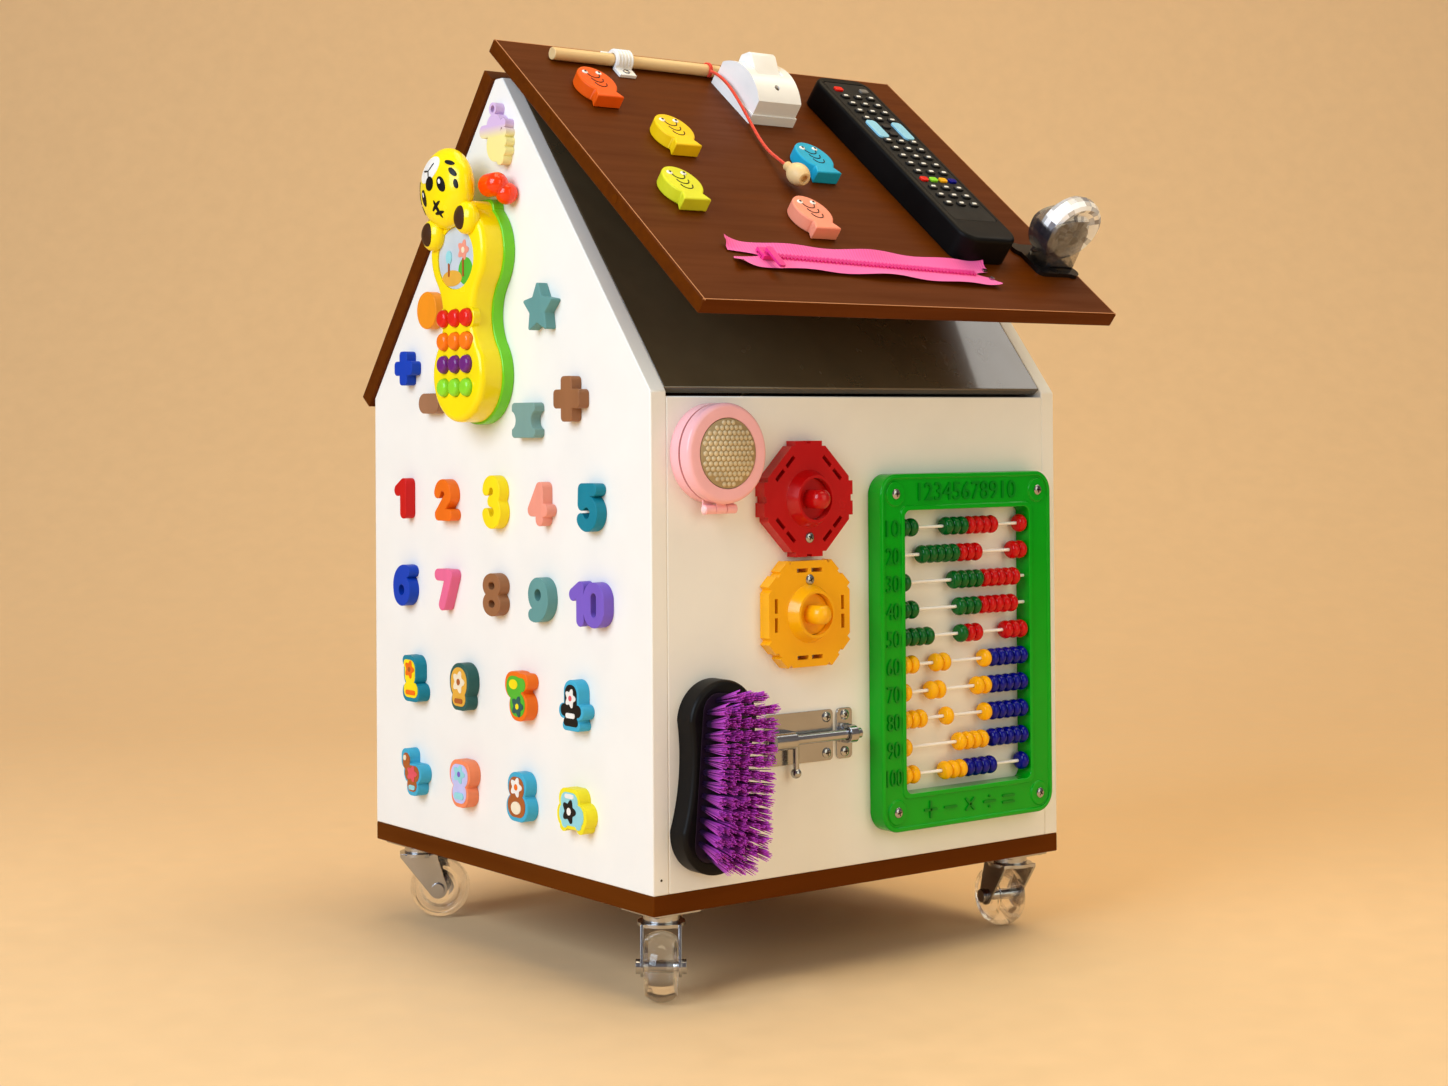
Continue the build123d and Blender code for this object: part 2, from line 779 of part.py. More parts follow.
def phone_front_shell():
    front = phone_back_t + phone_front_t
    shell = round_top(extrude(phone_outline(phone_lip), phone_front_t), phone_round)
    shell += round_top(extrude(phone_shoulder(phone_lip), phone_front_t), phone_round)
    shell = Pos(0, 0, phone_back_t) * shell
    head = Pos(head_u, head_v, head_deep) * flat_ball(head_r, head_t)
    paws = [Pos(u, v, paw_deep) * flat_ball(paw_r, paw_t) for u, v in paw_places]
    for lobe in [head] + paws:
        shell += lobe
    pane = Ellipse(window_w / 2, window_h / 2)
    window = Pos(0, window_v, front - window_deep) * extrude(pane, head_r)
    shell -= window - head - paws[0] - paws[1]
    for row in range(4):
        for u, v in key_spots(row):
            shell -= post(key_r + run_gap, front - key_floor(), front + overrun, u, v)
    return [gable_place(phone_place_shares) * shell]


def key_floor():
    return key_round + key_rise


def phone_keys(row):
    front = phone_back_t + phone_front_t
    low = front - key_floor() + key_travel + slide_gap
    key = round_top(post(key_r, low, front + key_rise), key_round)
    return [gable_place(phone_place_shares) * Pos(u, v, 0) * key for u, v in key_spots(row)]


# Folding compact brush, hinged at its foot
def compact_hinge_v():
    return -compact_r - compact_lug_r - slide_gap


def compact_hinge_deep():
    return compact_half_t + compact_slit / 2


def compact_base():
    v = compact_hinge_v()
    deep = compact_hinge_deep()
    half = compact_lug_w / 2
    third = compact_lug_w / 3
    body = post(compact_r, 0, compact_half_t)
    arm_low = deep - compact_lug_r * 2 / 3
    for side in (-1, 1):
        low, high = sorted((side * half, side * (third / 2 + knuckle_gap)))
        body += rod_along_x(compact_lug_r, low, high, v, deep)
        body += block(low, high, v, -compact_r + 2 * compact_lug_r, arm_low, compact_half_t)
    body += rod_along_x(compact_pin_r, -half, half, v, deep)
    return [front_place(compact_place_shares) * body]


def compact_lid():
    v = compact_hinge_v()
    deep = compact_hinge_deep()
    third = compact_lug_w / 3
    low = compact_half_t + compact_slit
    high = low + compact_half_t
    body = round_top(post(compact_r, low, high), compact_round)
    body -= post(pad_r + run_gap, high - pad_deep, high + overrun)
    body += rod_along_x(compact_lug_r, -third / 2, third / 2, v, deep)
    arm_high = deep + compact_lug_r * 2 / 3
    body += block(-third / 2, third / 2, v, -compact_r + 2 * compact_lug_r, low, arm_high)
    body -= rod_along_x(compact_pin_r + slide_gap, -compact_lug_w, compact_lug_w, v, deep)
    dome_r = (pad_r ** 2 + pad_dome ** 2) / (2 * pad_dome)
    pad = post(pad_r, high - pad_deep, high + pad_dome) & Pos(0, 0, high + pad_dome - dome_r) * Sphere(dome_r)
    return [front_place(compact_place_shares) * body, front_place(compact_place_shares) * pad]


# Octagon plates with a collar, and their twist knobs
def octagon_spots():
    u, v = octagon_place_shares
    top = front_place((u, v))
    return {"red": top, "yellow": top * Pos(0, -octagon_step, 0)}


def octagon_plate(tab_turn_deg):
    flat = octagon_flats / 2
    outline = RegularPolygon(flat, 8, major_radius=False, rotation=22.5)
    for index in range(4):
        turn = Rot(0, 0, tab_turn_deg + 90 * index)
        tab = Pos(flat + tab_out / 2 - tab_notch / 2, 0) * Rectangle(tab_out + tab_notch, tab_w)
        outline += turn * (tab - Pos(flat + tab_out, 0) * Rectangle(tab_out, tab_notch))
        slot_turn = Rot(0, 0, tab_turn_deg + 45 + 90 * index)
        for side in (-1, 1):
            outline -= slot_turn * Pos(flat - slot_in, side * slot_w * 2 / 3) * Rectangle(slot_h, slot_w)
    plate = extrude(outline, octagon_t)
    plate += Pos(0, 0, octagon_t + collar_h / 2) * Cone(collar_r + collar_flare, collar_r, collar_h)
    plate -= post(collar_r - collar_wall, octagon_t, octagon_t + collar_h + overrun)
    plate -= post(knob_stub_r + slide_gap, octagon_t - knob_stub_h - slide_gap, octagon_t + overrun)
    return plate


def knob_plates():
    spots = octagon_spots()
    return [spots["red"] * octagon_plate(0), spots["yellow"] * octagon_plate(45)]


def twist_knob(colour):
    low = octagon_t + slide_gap
    knob = post(knob_r, low, low + knob_t)
    knob += post(knob_stub_r, octagon_t - knob_stub_h, low)
    peg_top = octagon_t + collar_h + knob_peg_out
    peg = post(knob_peg_r, low, peg_top) + Pos(0, 0, peg_top) * Sphere(knob_peg_r)
    peg &= block(-knob_peg_r, knob_peg_r, -knob_peg_flat, knob_peg_flat, low, peg_top + knob_peg_r)
    return [octagon_spots()[colour] * (knob + peg)]


# Abacus: a frame with ten wires, and beads parked at the ends or sliding as a cluster
def abacus_frame():
    frame = round_top(rounded_plate(abacus_w, abacus_h, abacus_corner, 0, abacus_t), abacus_edge)
    corner = abacus_corner - abacus_rim
    border = 2 * abacus_rim
    recess = RectangleRounded(abacus_w - border, abacus_h - border, corner)
    recess -= RectangleRounded(abacus_window_w + border, abacus_window_h + border, abacus_window_corner)
    for x in (-1, 1):
        for y in (-1, 1):
            spot = Pos(x * (abacus_w / 2 - abacus_boss_in), y * (abacus_h / 2 - abacus_boss_in))
            recess -= spot * Circle(abacus_boss_r)
    frame -= Pos(0, 0, abacus_t - abacus_recess) * extrude(recess, abacus_recess + overrun)
    frame -= rounded_plate(abacus_window_w, abacus_window_h, abacus_window_corner,
                           -overrun, abacus_t + overrun)
    return [front_place(abacus_place_shares) * frame]


def wire_v(row):
    return (4.5 - row) * wire_pitch


def abacus_wires():
    half = abacus_window_w / 2
    return [front_place(abacus_place_shares) * rod_along_x(wire_r, -half, half, wire_v(row), wire_deep)
            for row in range(10)]


def bead(u, v):
    half = bead_t / 2
    bore = wire_r + slide_gap
    profile = make_face(Polyline((bore, -half), (bead_face_r, -half), (bead_r, -half / 4), (bead_r, half / 4),
                                 (bead_face_r, half), (bore, half), close=True))
    solid = revolve(Plane.XZ * profile, Axis.Z)
    return front_place(abacus_place_shares) * Pos(u, v, wire_deep) * Rot(0, 90, 0) * solid


def bead_places(row):
    pitch = bead_t + bead_step
    half = abacus_window_w / 2
    left_count, slide_count = bead_counts[row]
    right_count = 10 - left_count - slide_count
    first = -half + bead_end_gap + bead_t / 2
    left = [first + index * pitch for index in range(left_count)]
    right = [-first - index * pitch for index in range(right_count)]
    middle = bead_middle_shares[row] * half
    sliding = [middle + (index - (slide_count - 1) / 2) * pitch for index in range(slide_count)]
    return left + right, sliding


def parked_beads():
    return [bead(u, wire_v(row)) for row in range(10) for u in bead_places(row)[0]]


def beads_row(row):
    return [bead(u, wire_v(row)) for u in bead_places(row)[1]]


# Barrel bolt: plate with its slotted barrel, keeper, sliding rod with its lever
def bolt_ends():
    right = bolt_plate_w / 2
    keeper = right + keeper_gap
    return right, keeper, keeper + keeper_w + bolt_past_keeper


def bolt_arch(x0, x1, width):
    half = width / 2
    outline = Pos(0, bolt_rod_deep / 2) * Rectangle(width, bolt_rod_deep)
    outline += Pos(0, bolt_rod_deep) * Circle(half)
    return Pos(x0, 0, 0) * extrude(Plane.YZ * outline, x1 - x0)


def bolt_plate():
    right, keeper, end = bolt_ends()
    plate = rounded_plate(bolt_plate_w, bolt_plate_h, bolt_corner, 0, bolt_plate_t)
    barrel_x = -right + barrel_end_in
    plate += bolt_arch(barrel_x, barrel_x + barrel_len, barrel_w)
    bore = bolt_rod_r + slide_gap
    plate -= rod_along_x(bore, -end, end, 0, bolt_rod_deep)
    lever_x = lever_place()
    slot = lever_r + slide_gap
    slot_low = bolt_rod_deep - slot
    slot_high = bolt_rod_deep + slot
    plate -= block(lever_x - bolt_travel - slot, lever_x + slot, -barrel_w, 0, slot_low, slot_high)
    loop = Pos(keeper + keeper_w / 2, 0) * rounded_plate(keeper_w, bolt_plate_h, bolt_corner, 0, bolt_plate_t)
    loop += bolt_arch(keeper + keeper_w / 4, keeper + keeper_w * 3 / 4, barrel_w)
    loop -= rod_along_x(bore, -end, end, 0, bolt_rod_deep)
    return [front_place(bolt_place_shares) * plate, front_place(bolt_place_shares) * loop]


def lever_place():
    barrel_x = -bolt_plate_w / 2 + barrel_end_in
    return barrel_x + barrel_len + lever_r + slide_gap


def bolt_rod():
    end = bolt_ends()[2]
    lever_x = lever_place()
    rod = rod_along_x(bolt_rod_r, lever_x - barrel_len, end, 0, bolt_rod_deep)
    lever = Pos(lever_x, -lever_len / 2, bolt_rod_deep) * Rot(90, 0, 0) * Cylinder(lever_r, lever_len)
    ball = Pos(lever_x, -lever_len, bolt_rod_deep) * Sphere(lever_ball_r)
    return [front_place(bolt_place_shares) * (rod + lever + ball)]


# Scrub brush with its bristles
def brush_outline():
    half_x = brush_w / 2
    half_y = brush_h / 2
    side_y = half_y - half_x
    edges = ThreePointArc((half_x, -side_y), (half_x - brush_waist, 0), (half_x, side_y))
    edges += ThreePointArc((half_x, side_y), (0, half_y), (-half_x, side_y))
    edges += ThreePointArc((-half_x, side_y), (brush_waist - half_x, 0), (-half_x, -side_y))
    edges += ThreePointArc((-half_x, -side_y), (0, -half_y), (half_x, -side_y))
    return make_face(edges)


def brush_handle():
    body = round_top(extrude(brush_outline(), brush_t), brush_round)
    corner = bristle_pad_w / 3
    body -= rounded_plate(bristle_pad_w, bristle_pad_h, corner, brush_t - bristle_pad_t, brush_t + overrun)
    return [front_place(brush_place_shares) * Rot(0, 0, brush_turn_deg) * body]


def brush_bristles():
    corner = bristle_pad_w / 3
    pad = rounded_plate(bristle_pad_w - 2 * slide_gap, bristle_pad_h - 2 * slide_gap, corner - slide_gap,
                        brush_t - bristle_pad_t, brush_t)
    half_x = bristle_pad_w / 2 - bristle_edge
    half_y = bristle_pad_h / 2 - bristle_edge
    strands = []
    for row in range(bristle_rows):
        for column in range(bristle_columns):
            x = half_x * (2 * column / (bristle_columns - 1) - 1)
            y = half_y * (2 * row / (bristle_rows - 1) - 1)
            in_corner = abs(x) > half_x - corner / 2 and abs(y) > half_y - corner / 2
            if in_corner:
                continue
            lean = Vector(x / half_x * bristle_splay_share, y / half_y * bristle_splay_share, 1).normalized()
            foot = Pos(x, y, brush_t - bristle_pad_t / 2) * RegularPolygon(bristle_r, 3)
            strands.append(extrude(foot, bristle_len, dir=lean))
    return [front_place(brush_place_shares) * Rot(0, 0, brush_turn_deg) * pad.fuse(*strands)]


# Switch box on the lid
def switch_box():
    half = switch_len / 2
    lip = half - switch_base_lip
    base = block(-switch_w / 2, switch_w / 2, -half, half, 0, switch_base_t)
    profile = make_face(
        Polyline((-lip, switch_side_h), (-lip, switch_base_t), (lip, switch_base_t), (lip, switch_side_h))
        + ThreePointArc((lip, switch_side_h), (0, switch_top_h), (-lip, switch_side_h)))
    width = switch_w - 2 * switch_base_lip
    cover = Pos(-width / 2, 0, 0) * extrude(Plane.YZ * profile, width)
    box = base + cover
    pocket_half_x = rocker_w / 2 + run_gap
    pocket_half_y = rocker_len / 2 + rocker_end_gap
    floor = switch_top_h - rocker_deep - rocker_floor_gap
    box -= block(-pocket_half_x, pocket_half_x, rocker_shift - pocket_half_y, rocker_shift + pocket_half_y,
                 floor, switch_top_h + overrun)
    pin_reach = rocker_w / 2 + rocker_pin_out + run_gap
    pivot_z = switch_top_h - rocker_deep / 2
    box -= rod_along_x(rocker_pin_r + slide_gap, -pin_reach, pin_reach, rocker_shift, pivot_z)
    box -= post(lamp_r, switch_side_h + lamp_deep, switch_top_h + overrun, 0, -lamp_down)
    return [lid_place(switch_place_shares) * box]


def switch_rocker():
    half = rocker_len / 2
    low = switch_top_h - rocker_deep
    crest = switch_top_h + rocker_rise
    profile = Polygon((-half, low), (half, low), (half, switch_top_h), (half / 2, crest), (half / 4, crest),
                      (-half, switch_top_h - rocker_rise / 2), align=None)
    rocker = Pos(-rocker_w / 2, 0, 0) * extrude(Plane.YZ * profile, rocker_w)
    pin_reach = rocker_w / 2 + rocker_pin_out
    rocker += rod_along_x(rocker_pin_r, -pin_reach, pin_reach, 0, switch_top_h - rocker_deep / 2)
    return [lid_place(switch_place_shares) * Pos(0, rocker_shift, 0) * rocker]


# Remote control on the lid
def keypad_middle():
    return remote_len / 2 - keypad_top - keypad_len / 2


def remote_shell():
    shell = round_top(rounded_plate(remote_w, remote_len, remote_corner, 0, remote_t), remote_round)
    recess = rounded_plate(keypad_w + 2 * run_gap, keypad_len + 2 * run_gap, keypad_corner,
                           remote_t - keypad_deep, remote_t + overrun)
    shell -= Pos(0, keypad_middle(), 0) * recess
    return [lid_place(remote_place_shares) * shell]


def remote_keypad():
    low = remote_t - keypad_deep + keypad_travel + slide_gap / 2
    pad = rounded_plate(keypad_w, keypad_len, keypad_corner, low, low + keypad_t)
    top = low + keypad_t
    pitch_y = keypad_len / (remote_key_rows + 1)
    for row in range(remote_key_rows):
        y = keypad_len / 2 - (row + 1) * pitch_y
        for column in range(remote_key_columns):
            x = (column - (remote_key_columns - 1) / 2) * remote_key_pitch
            if row in remote_rocker_rows and column != 1:
                continue
            pad += block(x - remote_key_w / 2, x + remote_key_w / 2,
                         y - remote_key_h / 2, y + remote_key_h / 2, top, top + remote_key_rise)
    rocker_y = keypad_len / 2 - (sum(remote_rocker_rows) / 2 + 1) * pitch_y
    for side in (-1, 1):
        x = side * remote_key_pitch
        pad += block(x - remote_rocker_w / 2, x + remote_rocker_w / 2, rocker_y - remote_rocker_h / 2,
                     rocker_y + remote_rocker_h / 2, top, top + remote_key_rise)
    return [lid_place(remote_place_shares) * Pos(0, keypad_middle(), 0) * pad]


# Fish blocks, heads towards the ridge
def fish():
    body_len = fish_len - fish_tail_len / 2
    outline = Pos(0, fish_len - body_len / 2) * Ellipse(fish_w / 2, body_len / 2)
    outline += Polygon((-fish_tail_w / 2, 0), (fish_tail_w / 2, 0), (fish_waist_w / 2, fish_tail_len),
                       (-fish_waist_w / 2, fish_tail_len), align=None)
    return extrude(outline, fish_t)


def fish_blocks():
    return [lid_place(shares) * fish() for shares in fish_tail_shares]


# Fishing rod in its clip, with the cord and the wooden bead
def rod_middle():
    return rod_place_shares[0] * half_w, -rod_place_shares[1] * lid_len, rod_r + slide_gap


def fishing_rod():
    x, y, z = rod_middle()
    return [on_lid.location * rod_along_x(rod_r, x - rod_len / 2, x + rod_len / 2, y, z)]


def rod_clip():
    y, z = rod_middle()[1:]
    inner = rod_r + run_gap
    outer = inner + clip_t
    outline = Pos(y, z) * Circle(outer) + Pos(y, z / 2) * Rectangle(2 * outer, z)
    outline += Pos(y, clip_t / 2) * Rectangle(2 * (outer + clip_foot), clip_t)
    outline -= Pos(y, z) * Circle(inner)
    outline -= Pos(y, z / 2) * Rectangle(2 * inner, z)
    outline -= Pos(y, -outer / 2) * Rectangle(2 * outer, outer)
    x = clip_x_share * half_w - clip_w / 2
    return [on_lid.location * Pos(x, 0, 0) * extrude(Plane.YZ * outline, clip_w)]


def cord_points():
    return [Vector(x, -down, up) for x, down, up in cord_route]


def cord_radii(points):
    radii = []
    for before, here, after in zip(points, points[1:], points[2:]):
        turn = radians((here - before).get_angle(after - here))
        run = min((here - before).length, (after - here).length)
        radii.append(cord_bend_share * run / tan(turn / 2))
    return radii


def fishing_cord():
    points = cord_points()
    radii = cord_radii(points)
    path = FilletPolyline(*points, radius=radii)
    section = Plane(origin=path @ 0, z_dir=path % 0) * Circle(cord_r)
    tube = sweep(section, path=path)
    expected = pi * cord_r ** 2 * path.length
    print("cord radii", [round(radius, 1) for radius in radii])
    print("cord volume against section times length", round(tube.volume / expected, 4))
    return [on_lid.location * tube]


def fishing_bead():
    end = cord_points()[-1]
    way = (end - cord_points()[-2]).normalized()
    belly = (bead_neck_len + bead_len) / 2
    profile = make_face(
        Polyline((0, 0), (bead_neck_r, 0), (bead_neck_r, bead_neck_len))
        + ThreePointArc((bead_neck_r, bead_neck_len), (bead_body_r, belly), (bead_end_r, bead_len))
        + Polyline((bead_end_r, bead_len), (bead_bore_r, bead_len), (bead_bore_r, bead_len - bead_bore_len),
                   (0, bead_len - bead_bore_len), (0, 0)))
    turned = revolve(Plane.XZ * profile, Axis.Z)
    return [on_lid.location * Plane(origin=end, z_dir=way).location * turned]


# Zipper with its slider
def zipper_tape():
    half = zip_len / 2
    tape = block(-half, half, -zip_w / 2, zip_w / 2, 0, zip_tape_t)
    teeth = zip_teeth_w / 2
    notch = zip_notch_w / 2
    notch_end = zip_notch_len - half
    tape += block(notch_end, half, -teeth, teeth, zip_tape_t, zip_tape_t + zip_teeth_rise)
    tape -= block(-half - overrun, notch_end, -notch, notch, -overrun, zip_tape_t + overrun)
    return [lid_place(zip_place_shares) * Rot(0, 0, zip_turn_deg) * tape]


def zipper_slider():
    x = zip_slider_x - zip_len / 2
    low = zip_tape_t + slide_gap
    top = zip_tape_t + zip_teeth_rise + slide_gap + slider_wall
    body = block(x, x + slider_len, -slider_w / 2, slider_w / 2, low, top)
    channel = zip_teeth_w / 2 + run_gap
    body -= block(x - overrun, x + slider_len + overrun, -channel, channel, low - overrun, top - slider_wall)
    middle = x + slider_len / 2
    body += block(middle - slider_wall, middle + slider_wall, -slider_wall, slider_wall,
                  top, top + slider_wall)
    pull = Pos(0, -pull_len / 2, 0) * rounded_plate(pull_w, pull_len, pull_w / 3, 0, pull_t)
    body += Pos(middle, slider_wall, top + slider_wall) * pull
    return [lid_place(zip_place_shares) * Rot(0, 0, zip_turn_deg) * body]


# Hooded wheel that spins on the lid
def spinner_axle_up():
    return spinner_plate_t + spinner_floor_gap + spinner_wheel_r


def spinner_bracket():
    up = spinner_axle_up()
    half = spinner_wheel_w / 2 + run_gap
    body = rounded_plate(spinner_plate_w, spinner_plate_w, spinner_ear_r, 0, spinner_plate_t)
    for side in (-1, 1):
        ear = post(spinner_ear_r, 0, spinner_plate_t, side * spinner_ear_out, 0)
        body += Rot(0, 0, spinner_ear_deg) * ear
    inner = spinner_wheel_r + 2 * run_gap
    outer = inner + spinner_hood_t
    leg = make_hull((
        Pos(0, up) * Circle(spinner_cheek_r)
        + Pos(0, spinner_plate_t / 2) * Rectangle(spinner_foot_w, spinner_plate_t)).edges())
    side_disc = Circle(outer) - Pos(0, outer) * Rectangle(2 * outer, 2 * outer)
    side_disc += Ellipse(outer, spinner_cheek_top)
    side_disc -= Pos(spinner_hood_edge + outer, 0) * Rectangle(2 * outer, 2 * outer)
    cheek = extrude(Plane.XZ * (leg + Pos(0, up) * side_disc), spinner_cheek_t)
    for y in (-half, half + spinner_cheek_t):
        body += Pos(spinner_trail, y, 0) * cheek
    axle = Pos(spinner_trail, 0, up) * Rot(90, 0, 0)
    body += axle * Cylinder(spinner_axle_r, 2 * (half + spinner_cheek_t))
    ring = Pos((inner + outer) / 2, 0) * Rectangle(spinner_hood_t, 2 * (half + spinner_cheek_t))
    hood = revolve(ring, Axis.Y, spinner_hood_deg)
    body += Pos(spinner_trail, 0, up) * Rot(0, spinner_hood_middle_deg - spinner_hood_deg / 2, 0) * hood
    return [lid_place(spinner_place_shares) * body]


def spinner_wheel():
    wheel = rolling_wheel(spinner_wheel_r, spinner_wheel_w, wheel_dish, spinner_axle_r + slide_gap)
    axle = Pos(spinner_trail, 0, spinner_axle_up()) * Rot(90, 0, 0)
    return [lid_place(spinner_place_shares) * axle * wheel]


# Every node and the solids in it
nodes = {
    "base_plate": base_plate(),
    "gable_left": gable(-half_w),
    "gable_right": gable(half_w - board),
    "front_wall": long_wall(-half_d),
    "rear_wall": long_wall(half_d - board),
    "rear_roof_panel": rear_roof_panel(),
    "slope_board": slope_board(),
    "caster_plates": caster_plates(),
    "number_blocks": number_blocks(),
    "wall_blocks": wall_blocks(),
    "phone_back_shell": phone_back_shell(),
    "phone_front_shell": phone_front_shell(),
    "compact_base": compact_base(),
    "compact_lid": compact_lid(),
    "knob_plates": knob_plates(),
    "red_knob": twist_knob("red"),
    "yellow_knob": twist_knob("yellow"),
    "abacus_frame": abacus_frame(),
    "abacus_wires": abacus_wires(),
    "parked_beads": parked_beads(),
    "bolt_plate": bolt_plate(),
    "bolt_rod": bolt_rod(),
    "brush_handle": brush_handle(),
    "brush_bristles": brush_bristles(),
    "lid_panel": lid_panel(),
    "switch_box": switch_box(),
    "switch_rocker": switch_rocker(),
    "remote_shell": remote_shell(),
    "remote_keypad": remote_keypad(),
    "fish_blocks": fish_blocks(),
    "rod_clip": rod_clip(),
    "fishing_rod": fishing_rod(),
    "fishing_cord": fishing_cord(),
    "fishing_bead": fishing_bead(),
    "zipper_tape": zipper_tape(),
    "zipper_slider": zipper_slider(),
    "spinner_bracket": spinner_bracket(),
    "spinner_wheel": spinner_wheel(),
}
for row, colour in enumerate(("red", "orange", "purple", "green")):
    nodes["phone_keys_" + colour] = phone_keys(row)
for row in range(10):
    nodes["beads_row_" + str(row + 1).zfill(2)] = beads_row(row)
for name in caster_yaw_deg:
    nodes["caster_fork_" + name] = caster_fork(name)
    nodes["caster_wheel_" + name] = caster_wheel(name)

os.makedirs("parts", exist_ok=True)
for name, shapes in nodes.items():
    solids = [solid for shape in shapes for solid in shape.solids()]
    export_step(Compound(children=solids), "parts/" + name + ".step")
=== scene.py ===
import json
from itertools import product
from math import cos, pi, radians, sin, sqrt
from random import Random

import bmesh
import bpy
from mathutils import Matrix, Vector


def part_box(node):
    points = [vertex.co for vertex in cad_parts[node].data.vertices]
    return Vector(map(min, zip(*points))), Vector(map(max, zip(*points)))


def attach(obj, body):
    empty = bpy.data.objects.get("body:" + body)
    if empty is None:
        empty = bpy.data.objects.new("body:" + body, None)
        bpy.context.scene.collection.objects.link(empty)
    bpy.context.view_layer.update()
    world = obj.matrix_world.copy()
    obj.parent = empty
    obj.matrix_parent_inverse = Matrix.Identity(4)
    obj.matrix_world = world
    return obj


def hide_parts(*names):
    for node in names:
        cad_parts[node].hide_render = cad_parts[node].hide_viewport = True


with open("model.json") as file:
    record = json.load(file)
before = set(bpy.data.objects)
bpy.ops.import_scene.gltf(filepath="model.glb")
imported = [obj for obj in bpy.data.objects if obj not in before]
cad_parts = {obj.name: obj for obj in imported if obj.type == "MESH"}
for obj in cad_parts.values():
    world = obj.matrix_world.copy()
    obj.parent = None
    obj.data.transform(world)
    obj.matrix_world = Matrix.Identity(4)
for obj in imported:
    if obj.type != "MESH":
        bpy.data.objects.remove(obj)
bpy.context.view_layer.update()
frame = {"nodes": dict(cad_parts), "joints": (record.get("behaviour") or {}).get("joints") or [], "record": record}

# Sizes and places in metres, in the frame of the part
# Shares are of the half width, the half depth, the wall height or the length
half_w, half_d, base_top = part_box("base_plate")[1]
wall_height = 0.306
board = 0.012
roof_side = 0.0025
lid_len = 0.293
lid_thick = 0.010
lid_back = 0.005
lid_slope = radians(39.3)
edge_soft = 0.0008
block_soft = 0.0012
thin_soft = 0.0003
mid_soft = 0.0005
print_t = 0.0003
print_step = 0.00012
line_w = 0.0006
weld_gap = 1e-6
flat_turn = radians(0.5)
bevel_turn = radians(30)
faceted = radians(1)
crisp = radians(35)
smooth = radians(60)
front_facing_share = 0.9
# Rings of a print from its outline inwards: size, and under or over the surface
decal_ring_shares = ((1, -1), (1, 1), (0.66, 1), (0.33, 1))

# Depths of the fine grain of each kind of surface
plastic_grain = 0.00004
gloss_grain = 0.00003
paint_grain = 0.00012
wood_deep = 0.0001
clear_grain = 0.0002
weave_deep = 0.0002
board_grain = 0.00002
brush_grain = 0.00008

# Screws and nails
pan_r = 0.0034
small_screw_r = 0.0026
head_h_share = 0.42
head_profile_shares = ((1.0, 0.0), (1.0, 0.35), (0.85, 0.75), (0.55, 1.0), (0.0, 1.0))
# Slits are dark bars of painted shade across the head: length, width and corner as shares of its radius, and low
# and high edge as shares of its height
slit_shares = (1.15, 0.26, 0.08)
slit_height_shares = (0.6, 1.04)
nail_r = 0.0008
nail_t = 0.0002
nail_v_share = 0.03
plug_r = 0.0030
plug_place_shares = (0.3, 0.62)
caster_height = 0.055
caster_plate_t = 0.002
caster_screw_step = 0.014
caster_middle = 0.023
hinge_share = 0.6
hinge_screw_x = 0.018
hinge_screw_down = 0.019
rear_apex = (0, 0.0044, 0.585)
rear_slope = radians(52.3)
rear_leaf_out = 0.0132

# Gable toys
number_column_shares = (-0.70, -0.365, 0.0, 0.33, 0.66)
number_row_shares = (0.768, 0.567)
block_column_shares = (-0.615, -0.235, 0.185, 0.56)
block_row_shares = (0.357, 0.143)
block_w = 0.027
block_h = 0.032
block_t = 0.009
block_print_share = 0.82
petal_count = 5
petal_swing_share = 0.22
bar_round = 2.2
shape_shares = {
    "muted_teal": (0.336, 1.18), "blue": (-0.679, 1.067), "brown": (0.53, 0.988),
    "grey_teal": (0.235, 0.9445), "amber": (-0.485, 1.196), "dull_brown": (-0.475, 0.985),
    "sea_horse": (0.027, 1.564),
}
horse_change_share = 1.572
horse_blend = 0.004
phone_shares = (-0.092, 1.044)
phone_front = 0.025
window_w = 0.045
window_h = 0.042
window_v = 0.078
window_deep = 0.0015
window_gap = 0.0003
phone_key_u = 0.0142
phone_key_v = 0.038
collar_inner = 0.0064
collar_outer = 0.0078
collar_deep = 0.006
collar_under = 0.0004
head_place = (-0.008, 0.125, 0.026)
head_r = 0.027
head_t = 0.0134
face_turn = radians(20)
ear_places = ((-0.025, 0.095, 0.026), (0.0165, 0.1035, 0.026))
ear_r = 0.011
ear_t = 0.0075
ear_pad_shares = (1.15, 1.45)

# Front wall toys
compact_shares = (-0.74, 0.875)
compact_r = 0.031
compact_half_t = 0.0084
compact_slit = 0.0016
compact_pin_drop = 0.0343
compact_pin_x = 0.012
pin_cap_r = 0.0026
pin_cap_t = 0.0012
comb_pin_r = 0.0004
comb_pin_count = 44
pad_r = 0.0215
pad_deep = 0.003
pad_dome = 0.0026
cushion_rings = 12
cell_pitch = 0.0036
cell_r = 0.00165
cell_t = 0.0007
octagon_shares = (-0.325, 0.778)
octagon_step = 0.0727
octagon_t = 0.009
octagon_screw_v = (-0.0245, 0.0215)
abacus_shares = (0.453, 0.4445)
abacus_w = 0.157
abacus_h = 0.233
abacus_t = 0.013
abacus_recess = 0.0012
abacus_boss_in = 0.013
abacus_window_w = 0.115
abacus_window_h = 0.185
letter_deep_share = 0.05
mark_rise = 0.0011
mark_ones = (0.090, 0.0118)
mark_tens = (0.0112, 0.0108)
mark_hundred_w = 0.0135
sign_step = 0.018
sign_long = 0.0115
sign_bar = 0.0016
sign_gap = 0.0022
dot_gap_share = 1.6
wires = 10
colour_beads = 5
wire_pitch = 0.018
bead_r = 0.0062
bead_half = 0.0033
bead_face_r = 0.0036
bead_bore = 0.0014
bead_steps = 8
bolt_shares = (-0.343, 0.282)
bolt_plate_t = 0.0016
